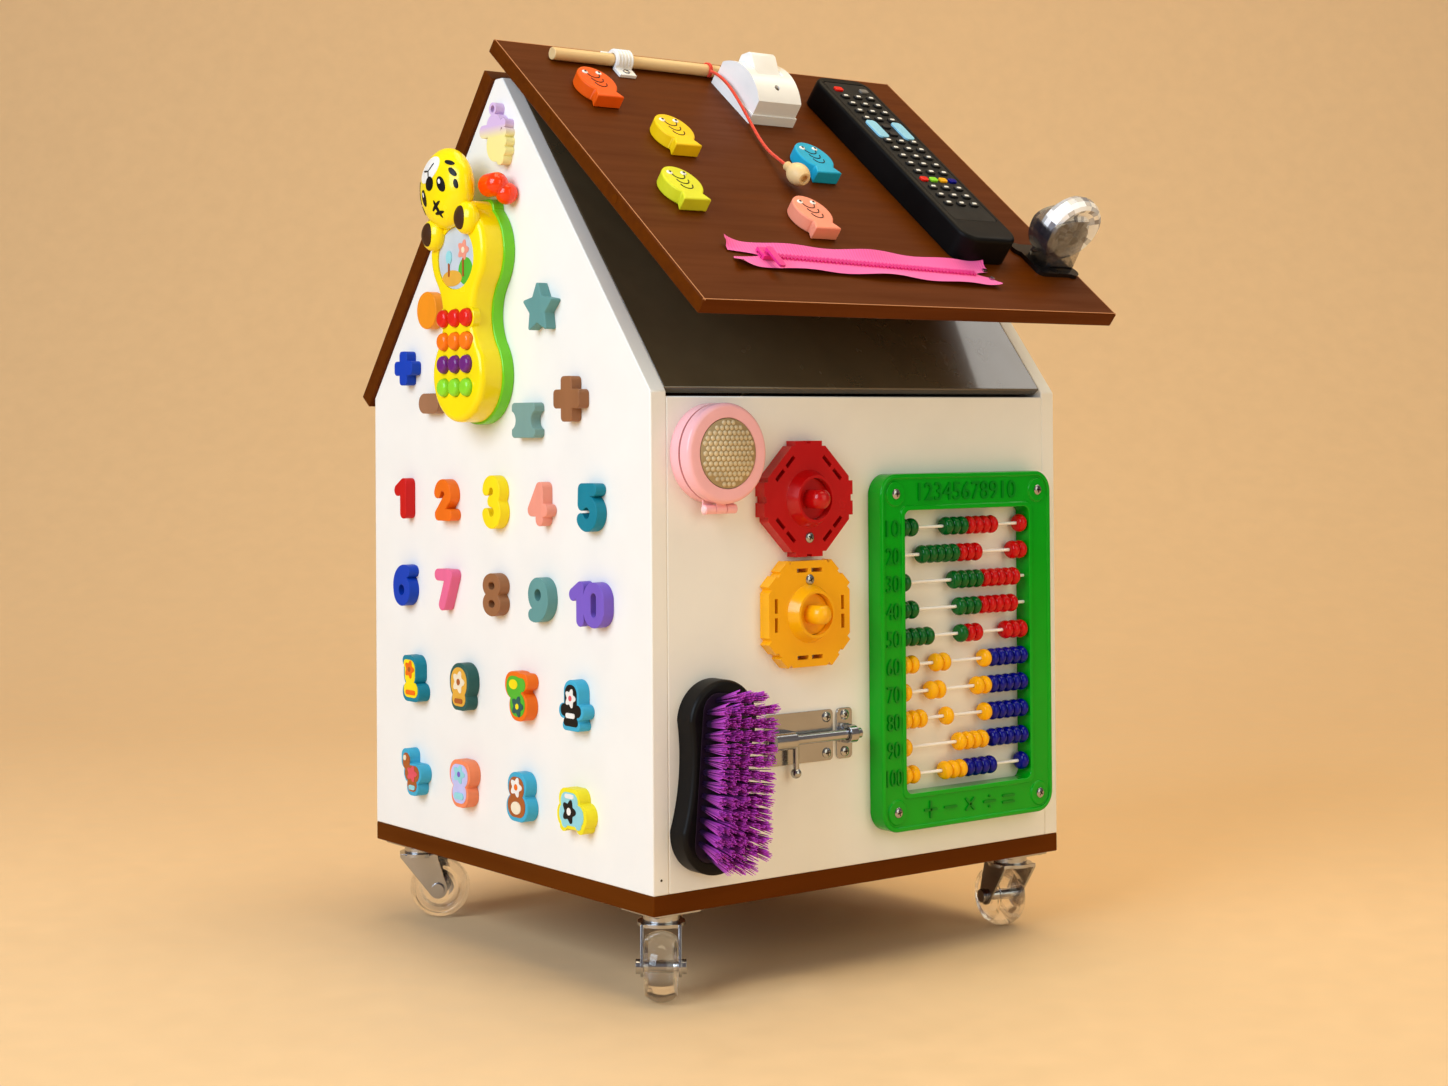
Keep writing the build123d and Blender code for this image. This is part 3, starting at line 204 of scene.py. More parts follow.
bolt_screw_places = ((-0.0235, 0.0115), (0.0225, 0.0115), (0.038, 0.0118))
brush_shares = (-0.762, 0.228)
brush_turn = radians(-5)
brush_t = 0.015
bristle_len = 0.0255
bristle_r = 0.00034
bristle_splay_share = 0.2
bristle_tip_share = 0.8
bristle_tall_shares = (0.94, 1.0)
bristle_sides = 3
# Height where the painted shade on the strands gives way to their bright colour, and the blend, as shares of their
# length
bristle_shade_top_share = 0.6
bristle_shade_blend_share = 0.38
tuft_rows = 14
tuft_columns = 5
tuft_row_step = 0.0072
tuft_column_step = 0.0068
tuft_r = 0.0016
tuft_flare = 1.5
tuft_strands = 34
# Size of the dark sheet of painted shade under the tufts
pad_bed_w = 0.0352
pad_bed_h = 0.1032
pad_bed_corner = 0.0115
pad_bed_t = 0.002

# Lid toys
switch_shares = (0.057, 0.186)
lamp_down = 0.016
lamp_up = 0.0245
lamp_w = 0.0034
lamp_h = 0.0030
remote_shares = (0.521, 0.474)
remote_len = 0.203
remote_t = 0.020
keypad_w = 0.040
keypad_len = 0.172
keypad_top = 0.008
keypad_corner = 0.003
keypad_under = 0.00025
keypad_t = 0.0012
key_rows = 17
key_columns = 3
key_step = 0.012
key_w = 0.0074
key_h = 0.0046
key_rise = 0.0014
key_mark_w = 0.0036
key_mark_h = 0.0018
rocker_rows = (5, 6)
rocker_w = 0.0095
rocker_h = 0.0215
colour_row = 12
colour_keys = ("key_red", "key_lime", "octagon_yellow", "bead_blue")
colour_key_share = 0.9
colour_step = 0.0088
bare_row = 16
fish_shares = ((-0.735, 0.268), (-0.55, 0.452), (-0.735, 0.675), (0.06, 0.522), (-0.212, 0.757))
fish_len = 0.037
fish_t = 0.0095
fish_eye_x = 0.0055
fish_eye_v = 0.029
fish_eye_r = 0.0022
fish_eye_t = 0.0008
fish_arcs = 3
fish_arc_r = 0.0045
fish_arc_t = 0.0004
fish_arc_step = 0.0055
fish_arc_start_share = 0.4
rod_r = 0.0043
rod_shares = (-0.41, 0.067)
rod_up = 0.0046
clip_share = -0.495
clip_t = 0.0026
clip_screw_out = 0.0112
clip_w = 0.014
clip_rib_r = 0.0006
clip_ribs = 5
clip_outer = 0.00725
whip_x = -0.011
whip_turns = 2
whip_tube = 0.0007
cord_d = 0.0022
# Cord route on the lid: across, down the slope and up from the surface
cord_route = (
    (-0.0110, 0.0196, 0.0050),
    (-0.0125, 0.0300, 0.0095),
    (-0.0133, 0.0470, 0.0115),
    (-0.0136, 0.0660, 0.0090),
    (-0.0142, 0.0850, 0.0050),
    (-0.0165, 0.1040, 0.0026),
    (-0.0195, 0.1210, 0.0032),
    (-0.0215, 0.1340, 0.0058),
    (-0.0220, 0.1460, 0.0078),
)
zip_shares = (-0.116, 0.8515)
zip_turn = radians(-2.9)
zip_len = 0.216
zip_w = 0.027
zip_up = 0.0012
zip_wave = 0.0017
zip_quick_waves = 3.2
zip_quick_share = 0.6
zip_slow_waves = 1.4
zip_slow_share = 0.4
zip_flat = 0.0056
zip_end_len = 0.018
zip_end_lift = 0.003
zip_tail_len = 0.013
zip_split_len = 0.022
zip_split_w = 0.0035
zip_fray = 0.0016
zip_rows = 96
zip_half_columns = 6
tooth_step = 0.0015
tooth_w = 0.0042
tooth_long = 0.0009
tooth_rise = 0.0013
stop_w = 0.0026
stop_long = 0.0036
spinner_shares = (0.88, 0.8)
spinner_trail = 0.006
spinner_plate_t = 0.003
spinner_axle_up = 0.030
spinner_r = 0.0235
spinner_half = 0.0076
spinner_hub_r = 0.0032
spinner_facets = 26
rim_shares = ((0.4, 1.0), (0.55, 0.7), (0.7, 0.85), (0.82, 1.0), (0.93, 0.8), (1.0, 0.3))
# Paints of the wheel's facets by index: clear crystal, white glint of painted highlight, grey painted shade
painted_facet_mix = (0, 0, 1, 1, 1, 1, 2)

# Camera place, turns and lens
camera_place = (-0.9895, -1.2676, 0.3516)
camera_azimuth = radians(-36.36)
camera_elevation = radians(-0.83)
camera_roll = radians(-0.37)
camera_lens = 56.12
camera_sensor = 36.0
camera_shift = (0.0555, -0.1026)

# Floor sweep, and lamps by place, size, power and colour
floor_near = 3.0
floor_far = 1.0
floor_side = 6.0
sweep_r = 1.6
sweep_top = 4.0
sweep_steps = 12
floor_colour = (236, 200, 152)
lamp_target = (0, 0, 0.3)
lamps = {
    "key": ((-2.6, -0.5, 1.5), 1.8, 79.0, (0.70, 0.845, 1.0)),
    "top": ((0.3, -0.3, 2.6), 2.0, 45.0, (1.0, 0.826, 0.535)),
    "fill": ((0.5, -3.2, 1.3), 2.5, 29.8, (1.0, 0.986, 0.776)),
    "side": ((2.3, -0.5, 2.7), 1.1, 8.0, (1.0, 0.96, 0.88)),
}
world_colour = (1.0, 0.83, 0.83)
world_strength = 0.18

# Colours as seen, in display values from 0 to 255
paints = {
    "white": (240, 237, 230), "red": (204, 22, 20), "orange": (240, 112, 18), "yellow": (250, 222, 20),
    "salmon": (238, 152, 130), "teal": (16, 128, 150), "blue": (8, 62, 182), "pink": (236, 108, 150),
    "brown": (150, 100, 64), "muted_teal": (98, 150, 148), "violet": (122, 92, 196),
    "grey_teal": (122, 158, 150), "amber": (240, 146, 26), "dull_brown": (158, 112, 80),
    "deep_green": (44, 92, 86), "sky": (64, 172, 206), "leaf": (84, 180, 48), "gold": (228, 172, 62),
    "lilac": (196, 194, 236), "pale_sky": (150, 214, 220), "chestnut": (172, 92, 40),
    "cream": (240, 226, 196), "coral": (244, 138, 92), "lemon": (246, 230, 36),
    "pale_grey": (196, 206, 214), "black": (16, 15, 16), "rose": (226, 84, 96),
    "fish_orange": (240, 92, 14), "fish_yellow": (246, 202, 14), "fish_lime": (220, 220, 40),
    "fish_cyan": (28, 168, 206), "fish_salmon": (246, 150, 122), "ear_brown": (66, 38, 18),
}
glossy_paints = {
    "phone_yellow": (253, 226, 4), "phone_lime": (112, 206, 18), "key_red": (226, 30, 16),
    "key_orange": (248, 122, 14), "key_purple": (110, 34, 122), "key_lime": (142, 222, 44),
    "compact_pink": (252, 186, 190), "button_pink": (250, 206, 204), "octagon_red": (190, 10, 12),
    "octagon_yellow": (248, 176, 10), "wire_white": (250, 248, 244), "switch_white": (244, 242, 238),
}
# The raised numbers and signs are the frame's green, painted darker as the shade at their edges
abacus_paints = {
    "abacus_green": (2, 164, 20), "abacus_mark_painted_shade": (4, 134, 24), "bead_green": (2, 94, 30),
    "bead_red": (198, 6, 8), "bead_yellow": (252, 182, 6), "bead_blue": (4, 10, 130),
}


def linear(colour):
    return tuple(((c / 255 + 0.055) / 1.055) ** 2.4 if c > 10 else c / 255 / 12.92 for c in colour)


def shade(colour, factor):
    return tuple(min(1.0, c * factor) for c in linear(colour))


# Material helpers; each new material is kept by its name
mats = {}


def node_tree(name):
    mats[name] = bpy.data.materials.new(name)
    mats[name].use_nodes = True
    tree = mats[name].node_tree
    return tree, tree.nodes["Principled BSDF"]


def settle(node, values):
    for name, value in values.items():
        node.inputs[name].default_value = value


def object_coords(tree):
    return tree.nodes.new("ShaderNodeTexCoord").outputs["Object"]


def noise(tree, scale, detail=3.0, stretch=(1, 1, 1)):
    texture = tree.nodes.new("ShaderNodeTexNoise")
    settle(texture, {"Scale": scale, "Detail": detail})
    mapping = tree.nodes.new("ShaderNodeMapping")
    settle(mapping, {"Scale": stretch})
    tree.links.new(object_coords(tree), mapping.inputs["Vector"])
    tree.links.new(mapping.outputs["Vector"], texture.inputs["Vector"])
    return texture.outputs["Fac"]


def ramp(tree, source, stops):
    node = tree.nodes.new("ShaderNodeValToRGB")
    elements = node.color_ramp.elements
    while len(elements) < len(stops):
        elements.new(0.5)
    for element, (place, colour) in zip(elements, stops):
        element.position = place
        element.color = (*colour, 1)
    tree.links.new(source, node.inputs["Fac"])
    return node.outputs["Color"]


def grey_ramp(tree, source, low, high):
    return ramp(tree, source, [(0.3, (low,) * 3), (0.7, (high,) * 3)])


def bump(tree, shader, source, strength, distance):
    node = tree.nodes.new("ShaderNodeBump")
    settle(node, {"Strength": strength, "Distance": distance})
    tree.links.new(source, node.inputs["Height"])
    tree.links.new(node.outputs["Normal"], shader.inputs["Normal"])


def surface(tree, shader, tint, gloss, grain, strength, depth):
    tree.links.new(tint, shader.inputs["Base Color"])
    tree.links.new(gloss, shader.inputs["Roughness"])
    bump(tree, shader, grain, strength, depth)


# Moulded plastic, paint and metal: a faint cloudy tint, uneven gloss and a fine grain
def plastic(name, colour, rough=0.35, coat=0.0, grain=900.0, depth=plastic_grain, vary=0.06, metal=0.0,
            specular=0.3):
    tree, shader = node_tree(name)
    cloud = noise(tree, 38.0)
    tint = ramp(tree, cloud, [(0.3, shade(colour, 1 - vary)), (0.7, shade(colour, 1 + vary))])
    gloss = grey_ramp(tree, cloud, rough * 0.85, rough * 1.15)
    surface(tree, shader, tint, gloss, noise(tree, grain, 2.0), 0.35, depth)
    settle(shader, {"Metallic": metal, "Specular IOR Level": specular})
    settle(shader, {"Coat Weight": coat, "Coat Roughness": 0.08})


# Painted wood: the grain shows through as fine streaks
def painted(name, colour):
    tree, shader = node_tree(name)
    streaks = noise(tree, 70.0, 5.0, (1.0, 1.0, 0.18))
    tint = ramp(tree, streaks, [(0.3, shade(colour, 0.93)), (0.7, shade(colour, 1.05))])
    surface(tree, shader, tint, grey_ramp(tree, streaks, 0.36, 0.5), streaks, 0.3, paint_grain)
    settle(shader, {"Specular IOR Level": 0.2})


def wood_grain(name, dark, light, stretch, rough=0.4, specular=0.5, scale=60.0):
    tree, shader = node_tree(name)
    fibres = noise(tree, scale, 6.0, stretch)
    tint = ramp(tree, fibres, [(0.28, linear(dark)), (0.5, shade(light, 0.88)), (0.72, linear(light))])
    gloss = grey_ramp(tree, fibres, rough * 1.2, rough * 0.8)
    surface(tree, shader, tint, gloss, fibres, 0.2, wood_deep)
    settle(shader, {"Specular IOR Level": specular})


def clear_plastic(name, colour, alpha, rough=0.08, through=0.0, ior=1.5):
    tree, shader = node_tree(name)
    streaks = noise(tree, 120.0)
    tree.links.new(grey_ramp(tree, streaks, rough, rough * 2.5), shader.inputs["Roughness"])
    tree.links.new(grey_ramp(tree, streaks, alpha * 0.85, alpha * 1.15), shader.inputs["Alpha"])
    bump(tree, shader, streaks, 0.2, clear_grain)
    settle(shader, {"Base Color": (*linear(colour), 1), "Transmission Weight": through, "IOR": ior})
    settle(shader, {"Coat Weight": 1.0, "Coat Roughness": 0.03})


def woven(name, colour, threads=140.0):
    tree, shader = node_tree(name)
    weave = tree.nodes.new("ShaderNodeTexWave")
    settle(weave, {"Scale": threads, "Distortion": 1.5})
    tree.links.new(object_coords(tree), weave.inputs["Vector"])
    tint = ramp(tree, weave.outputs["Fac"], [(0.2, shade(colour, 0.86)), (0.8, shade(colour, 1.08))])
    tree.links.new(tint, shader.inputs["Base Color"])
    bump(tree, shader, weave.outputs["Fac"], 0.5, weave_deep)
    settle(shader, {"Roughness": 0.75, "Sheen Weight": 0.2})


# One colour below a height and another above it, with a soft change between them
def two_tone(name, low, high, height, blend):
    tree, shader = node_tree(name)
    axes = tree.nodes.new("ShaderNodeSeparateXYZ")
    tree.links.new(object_coords(tree), axes.inputs["Vector"])
    span = tree.nodes.new("ShaderNodeMapRange")
    settle(span, {"From Min": height - blend, "From Max": height + blend})
    tree.links.new(axes.outputs["Z"], span.inputs["Value"])
    tint = ramp(tree, span.outputs["Result"], [(0.0, linear(low)), (1.0, linear(high))])
    streaks = noise(tree, 90.0, 4.0)
    surface(tree, shader, tint, grey_ramp(tree, streaks, 0.4, 0.55), streaks, 0.3, paint_grain)


# Board, metal, glass, cloth and bristles, then the paints
plastic("white_board", (244, 241, 234), 0.42, grain=500.0, vary=0.012)
wood_grain("brown_board", (84, 36, 0), (95, 43, 1), (0.06, 1.0, 1.0), 0.46, 0.06, 150.0)
wood_grain("brown_edge", (88, 38, 0), (102, 48, 2), (0.1, 0.1, 1.0), 0.5, 0.04)
plastic("edge_line", (196, 132, 84), 0.5)
plastic("drawing_board", (82, 70, 50), 0.24, 1.0, 60.0, board_grain, 0.08, specular=0.6)
plastic("steel", (176, 176, 178), 0.2, grain=700.0, vary=0.08, metal=1.0, specular=0.5)
# Dark steel for the nail head, and painted shade for the hollows of the screw slits
plastic("dark_steel_and_slit_shade", (70, 62, 52), 0.4, grain=700.0, vary=0.15, metal=0.6)
clear_plastic("clear", (250, 250, 250), 0.8, 0.03, 1.0, 1.2)
clear_plastic("pane", (236, 236, 238), 0.16)
clear_plastic("crystal", (246, 247, 250), 0.5)
# White glints and grey facets stand in for the crystal's sparkle: painted highlight and painted shade
plastic("glint", (252, 253, 255), 0.08, 1.0)
plastic("painted_facet_shade", (136, 136, 142), 0.1, 1.0)
clear_plastic("smoke", (44, 40, 46), 0.72)
plastic("lens", (250, 60, 4), 0.14, 0.4)
woven("tape", (250, 92, 172))
plastic("teeth", (226, 52, 140), 0.4)
woven("cord", (232, 62, 28), 400.0)
wood_grain("turned_wood", (222, 178, 116), (244, 208, 148), (0.12, 1.0, 1.0), 0.5)
# Strands dark purple at their feet and bright magenta above: painted shade between the tufts
two_tone("bristle", (26, 2, 38), (210, 76, 214), bristle_len * bristle_shade_top_share,
         bristle_len * bristle_shade_blend_share)
# Dark purple for the bed under the tufts: painted shade of the dense bristle roots
plastic("bristle_root_shade", (30, 8, 38), 0.5)
plastic("brush_black", (13, 11, 11), 0.45, grain=1200.0, depth=brush_grain, specular=0.15)
plastic("pad_beige", (166, 142, 100), 0.4, 0.3)
plastic("pad_cell", (206, 186, 148), 0.3, 0.5, vary=0.16)
plastic("comb_dark", (94, 30, 52), 0.5)
plastic("remote_black", (7, 6, 6), 0.45, 0.0, 1400.0, specular=0.12)
plastic("key_black", (12, 11, 11), 0.55, grain=1400.0, specular=0.2)
plastic("key_black_high", (20, 19, 19), 0.5, grain=1400.0)
plastic("key_grey", (112, 108, 104), 0.55)
plastic("key_white", (232, 230, 224), 0.55)
plastic("sky_key", (140, 200, 226), 0.45)
plastic("lamp_dark", (84, 68, 50), 0.2, 0.6)
plastic("flange_black", (18, 17, 18), 0.25, 0.4)
two_tone("sea_horse", (244, 232, 150), (216, 186, 228), base_top + horse_change_share * wall_height,
         horse_blend)
for paint, colour in paints.items():
    painted(paint, colour)
for paint, colour in glossy_paints.items():
    plastic(paint, colour, 0.24, 0.18, 1100.0, gloss_grain, 0.04)
for paint, colour in abacus_paints.items():
    plastic(paint, colour, 0.15, 0.25, 1100.0, gloss_grain, 0.04, specular=0.14)


# Frames of the three busy faces: across, up the face and out of it
def face_frame(origin, across, up, out):
    columns = Matrix((across, up, out)).transposed().to_4x4()
    return Matrix.Translation(origin) @ columns


hinge_place = Vector(next(j["pos_m"] for j in frame["joints"] if j["name"] == "lid_hinge"))
lid_up = Vector((0, cos(lid_slope), sin(lid_slope)))
lid_out = Vector((0, -sin(lid_slope), cos(lid_slope)))
gable_face = face_frame((-half_w, 0, 0), (0, -1, 0), (0, 0, 1), (-1, 0, 0))
front_face = face_frame((0, -half_d, 0), (1, 0, 0), (0, 0, 1), (0, -1, 0))
lid_face = face_frame(hinge_place - lid_up * lid_back + lid_out * lid_thick, (1, 0, 0), lid_up, lid_out)


def spot(face, x, y, out=0.0, turn=0.0):
    return face @ Matrix.Translation((x, y, out)) @ Matrix.Rotation(turn, 4, "Z")


# Places on a face by shares of its half width and its height, then by distances
def placer(face, half, start, height):
    def place(shares, x=0.0, v=0.0, out=0.0, turn=0.0):
        return spot(face, shares[0] * half + x, start + shares[1] * height + v, out, turn)
    return place


on_gable = placer(gable_face, half_d, base_top, wall_height)
on_front = placer(front_face, half_w, base_top, wall_height)
on_lid = placer(lid_face, half_w, 0, -lid_len)


# Piece helpers
def body_of(node):
    return next(body for body, members in frame["record"]["behaviour"]["bodies"].items() if node in members)


def linked(name, data):
    obj = bpy.data.objects.new(name, data)
    bpy.context.scene.collection.objects.link(obj)
    return obj


def smooth_mesh(name, shape):
    mesh = bpy.data.meshes.new(name)
    shape.to_mesh(mesh)
    shape.free()
    mesh.polygons.foreach_set("use_smooth", [True] * len(mesh.polygons))
    return mesh


def piece(name, shape, material, body, place=None, soft=0.0, angle=crisp):
    mesh = smooth_mesh(name, shape)
    mesh.set_sharp_from_angle(angle=angle)
    obj = linked(name, mesh)
    if place is not None:
        obj.matrix_world = place
    mesh.materials.append(mats[material])
    if soft:
        bevel = obj.modifiers.new("edges", "BEVEL")
        bevel.width = soft
        bevel.segments = 2
        bevel.limit_method = "ANGLE"
        bevel.angle_limit = bevel_turn
    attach(obj, body)
    return obj


# The separate solids of a node, each as a mesh of its own with flat regions merged
def islands(node):
    bm = bmesh.new()
    bm.from_mesh(frame["nodes"][node].data)
    bmesh.ops.remove_doubles(bm, verts=bm.verts, dist=weld_gap)
    bmesh.ops.dissolve_limit(bm, angle_limit=flat_turn, verts=bm.verts, edges=bm.edges)
    parts = []
    part_of = {}
    copies = {}
    for start in bm.verts:
        if start in part_of:
            continue
        parts.append(bmesh.new())
        stack = [start]
        while stack:
            vert = stack.pop()
            if vert not in part_of:
                part_of[vert] = parts[-1]
                copies[vert] = parts[-1].verts.new(vert.co)
                stack.extend(edge.other_vert(vert) for edge in vert.link_edges)
    for face in bm.faces:
        part_of[face.verts[0]].faces.new([copies[v] for v in face.verts])
    bm.free()
    return parts


def middle(points):
    low = Vector(min(p[i] for p in points) for i in range(3))
    high = Vector(max(p[i] for p in points) for i in range(3))
    return (low + high) / 2


def middle_of(bm):
    return middle([v.co for v in bm.verts])


# Skins for a node's solids, with softened edges; the paint may be chosen from each solid's middle
def dress(node, paint, soft=edge_soft):
    objects = []
    for index, bm in enumerate(islands(node)):
        material = paint(middle_of(bm)) if callable(paint) else paint
        obj = piece(node + "_skin_" + str(index + 1), bm, material, body_of(node), None, soft)
        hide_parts(node)
        objects.append(obj)
    return objects


# One mesh from several, each put at its place
def joined(parts):
    whole = bmesh.new()
    mesh = bpy.data.meshes.new("joined")
    for part, place in parts:
        part.transform(place)
        part.to_mesh(mesh)
        part.free()
        whole.from_mesh(mesh)
    bpy.data.meshes.remove(mesh)
    return whole


def circle(radius, steps):
    turns = [2 * pi * k / steps for k in range(steps)]
    return [(radius * cos(t), radius * sin(t)) for t in turns]


# Faces from each ring of points to the next; a ring of one point closes the shape
def skin(bm, rings):
    for low, high in zip(rings, rings[1:]):
        count = max(len(low), len(high))
        for a in range(count):
            b = (a + 1) % count
            corners = [low[a % len(low)], low[b % len(low)], high[b % len(high)], high[a % len(high)]]
            bm.faces.new(list(dict.fromkeys(corners)))


def lathe(profile, steps=24):
    bm = bmesh.new()
    rings = []
    for radius, height in profile:
        spots = circle(radius, steps) if radius else [(0, 0)]
        rings.append([bm.verts.new((x, y, height)) for x, y in spots])
    skin(bm, rings)
    return bm


def stud(radius, low, high, steps):
    return lathe([(radius, low), (radius, high), (0, high)], steps)


def prism(outline, low, high):
    bm = bmesh.new()
    base = bm.faces.new([bm.verts.new((x, y, low)) for x, y in outline])
    raised = bmesh.ops.extrude_face_region(bm, geom=[base])
    moved_verts = [v for v in raised["geom"] if isinstance(v, bmesh.types.BMVert)]
    bmesh.ops.translate(bm, verts=moved_verts, vec=(0, 0, high - low))
    bmesh.ops.recalc_face_normals(bm, faces=bm.faces)
    return bm


def oval(width, height, steps=28):
    return [(x * width / 2, y * height / 2) for x, y in circle(1, steps)]


def lobed(radius, lobes, swing, steps=64):
    turns = [2 * pi * k / steps for k in range(steps)]
    reaches = [radius * (1 + swing * cos(lobes * t)) for t in turns]
    return [(reach * cos(t), reach * sin(t)) for reach, t in zip(reaches, turns)]


def rounded(width, height, corner, steps=5):
    outline = []
    for x, y, start in ((1, 1, 0), (-1, 1, 90), (-1, -1, 180), (1, -1, 270)):
        for k in range(steps + 1):
            t = radians(start + 90 * k / steps)
            across = x * (width / 2 - corner) + corner * cos(t)
            outline.append((across, y * (height / 2 - corner) + corner * sin(t)))
    return outline


def moved(outline, x, y, turn=0.0):
    return [(x + px * cos(turn) - py * sin(turn), y + px * sin(turn) + py * cos(turn)) for px, py in outline]


def dome(radius, height, steps=20, rows=5):
    turns = [pi / 2 * k / rows for k in range(rows + 1)]
    profile = [(radius * cos(t), height * sin(t)) for t in turns[:-1]]
    return lathe([(radius, -height / 2)] + profile + [(0, height)], steps)


def arc_tube(radius, tube, start, sweep, steps=28, sides=8):
    bm = bmesh.new()
    rings = []
    for k in range(steps + 1):
        t = start + sweep * k / steps
        spots = [(radius + out, z) for out, z in circle(tube, sides)]
        rings.append([bm.verts.new((reach * cos(t), reach * sin(t), z)) for reach, z in spots])
    for low, high in zip(rings, rings[1:]):
        for j in range(sides):
            bm.faces.new((low[j], high[j], high[(j + 1) % sides], low[(j + 1) % sides]))
    bm.faces.new(rings[0])
    bm.faces.new(rings[-1][::-1])
    return bm


# A thin print that follows a domed surface
def decal(outline, height_at, lift=print_t):
    middle_x = sum(x for x, y in outline) / len(outline)
    middle_y = sum(y for x, y in outline) / len(outline)
    bm = bmesh.new()
    rings = []
    for share, side in decal_ring_shares:
        spots = [(middle_x + (x - middle_x) * share, middle_y + (y - middle_y) * share) for x, y in outline]
        rings.append([bm.verts.new((x, y, height_at(x, y) + side * lift)) for x, y in spots])
    rings.append([bm.verts.new((middle_x, middle_y, height_at(middle_x, middle_y) + lift))])
    skin(bm, rings)
    return bm


# Screws are gathered by body, then made together
screws = {}


def screw(place, body, radius):
    screws.setdefault(body, []).append((place, radius))


def screw_head(radius):
    height = radius * head_h_share
    return lathe([(radius * out, height * up) for out, up in head_profile_shares], 20)


# A dark bar across the head, standing just proud of it: painted shade for the slit's hollow
def screw_slit(radius):
    low, high = [radius * head_h_share * up for up in slit_height_shares]
    return prism(rounded(*[radius * share for share in slit_shares], 2), low, high)


# A raised number, fitted to its width and height, in a darker green that is painted shade
def number(name, text, fit, place):
    curve = bpy.data.curves.new(name, "FONT")
    curve.body = text
    curve.align_x = "CENTER"
    curve.extrude = letter_deep_share
    holder = linked(name + "_curve", curve)
    bpy.context.view_layer.update()
    mesh = bpy.data.meshes.new_from_object(holder.evaluated_get(bpy.context.evaluated_depsgraph_get()))
    bpy.data.objects.remove(holder)
    shape = bmesh.new()
    shape.from_mesh(mesh)
    bpy.data.meshes.remove(mesh)
    shape.transform(Matrix.Translation(-middle_of(shape)))
    half_size = [max(v.co[i] for v in shape.verts) for i in range(3)]
    shape.transform(Matrix.Diagonal((fit[0] / 2 / half_size[0], fit[1] / 2 / half_size[1],
                                     mark_rise / half_size[2], 1)))
    piece(name, shape, "abacus_mark_painted_shade", "house", place)


def nearest(table):
    return lambda centre: min(table, key=lambda entry: (entry[1].to_translation() - centre).length)[0]


def motif_outline(kind, width, height):
    if kind == "petals":
        return [(x, y * height / width) for x, y in lobed(width / 2, petal_count, petal_swing_share)]
    if kind == "bar":
        return rounded(width, height, min(width, height) / bar_round)
    return oval(width, height)


# Flat prints one over the other: kind, middle, width and height as shares of the space, and paint
def layered(name, layers, width, height, place):
    for index, (kind, x, y, w, h, paint) in enumerate(layers):
        outline = moved(motif_outline(kind, w * width, h * height), x * width, y * height)
        shape = prism(outline, -print_t, print_t + index * print_step)
        piece(name + "_" + str(index + 1), shape, paint, "house", place)


# House boards, roof and hinges
def roof_paint(centre):
    return "steel" if abs(centre.x) > half_w / 3 else "brown_board"


for node in ("gable_left", "gable_right", "front_wall", "rear_wall"):
    dress(node, "white_board")
dress("base_plate", "brown_edge")
dress("slope_board", "drawing_board")
dress("rear_roof_panel", roof_paint)
dress("lid_panel", roof_paint)
lid_half = half_w + roof_side
line_in = edge_soft + line_w / 2
lines = []
for side in (-1, 1):
    across = rounded(2 * lid_half, line_w, line_w / 2, 1)
    along = rounded(line_w, lid_len, line_w / 2, 1)
    lines.append((prism(across, -line_w, print_step), on_lid((0, 0.5), 0, side * (lid_len / 2 - line_in))))
    lines.append((prism(along, -line_w, print_step), on_lid((0, 0.5), side * (lid_half - line_in))))
piece("lid_edge_lines", joined(lines), "edge_line", "lid")
plugs = []
for side in (-1, 1):
    for share in plug_place_shares:
        place = on_lid((0, share), side * lid_half, 0, -lid_thick / 2)
        plugs.append((stud(plug_r, -nail_t, nail_t, 24), place @ Matrix.Rotation(side * pi / 2, 4, "Y")))
piece("lid_edge_plugs", joined(plugs), "brown_edge", "lid")
piece("gable_edge_nail", stud(nail_r, -nail_t, nail_t, 12), "dark_steel_and_slit_shade", "house",
      on_front((0, nail_v_share), board / 2 - half_w))

# Casters
dress("caster_plates", "steel", thin_soft)
for caster in ("near", "left", "right", "rear"):
    dress("caster_fork_" + caster, "steel", thin_soft)
    dress("caster_wheel_" + caster, "clear", mid_soft)
for x, y, dx, dy in product((-1, 1), repeat=4):
    place = Matrix.Translation((x * (half_w - caster_middle) + dx * caster_screw_step,
                                y * (half_d - caster_middle) + dy * caster_screw_step,
                                caster_height - caster_plate_t))
    screw(place @ Matrix.Rotation(pi, 4, "X"), "house", small_screw_r)

# Number blocks
digit_paints = ("red", "orange", "yellow", "salmon", "teal", "blue", "pink", "brown", "muted_teal", "violet")
digit_shares = [(column, row) for row in number_row_shares for column in number_column_shares]
digit_table = [(paint, on_gable(shares)) for paint, shares in zip(digit_paints, digit_shares)]
dress("number_blocks", nearest(digit_table), mid_soft)

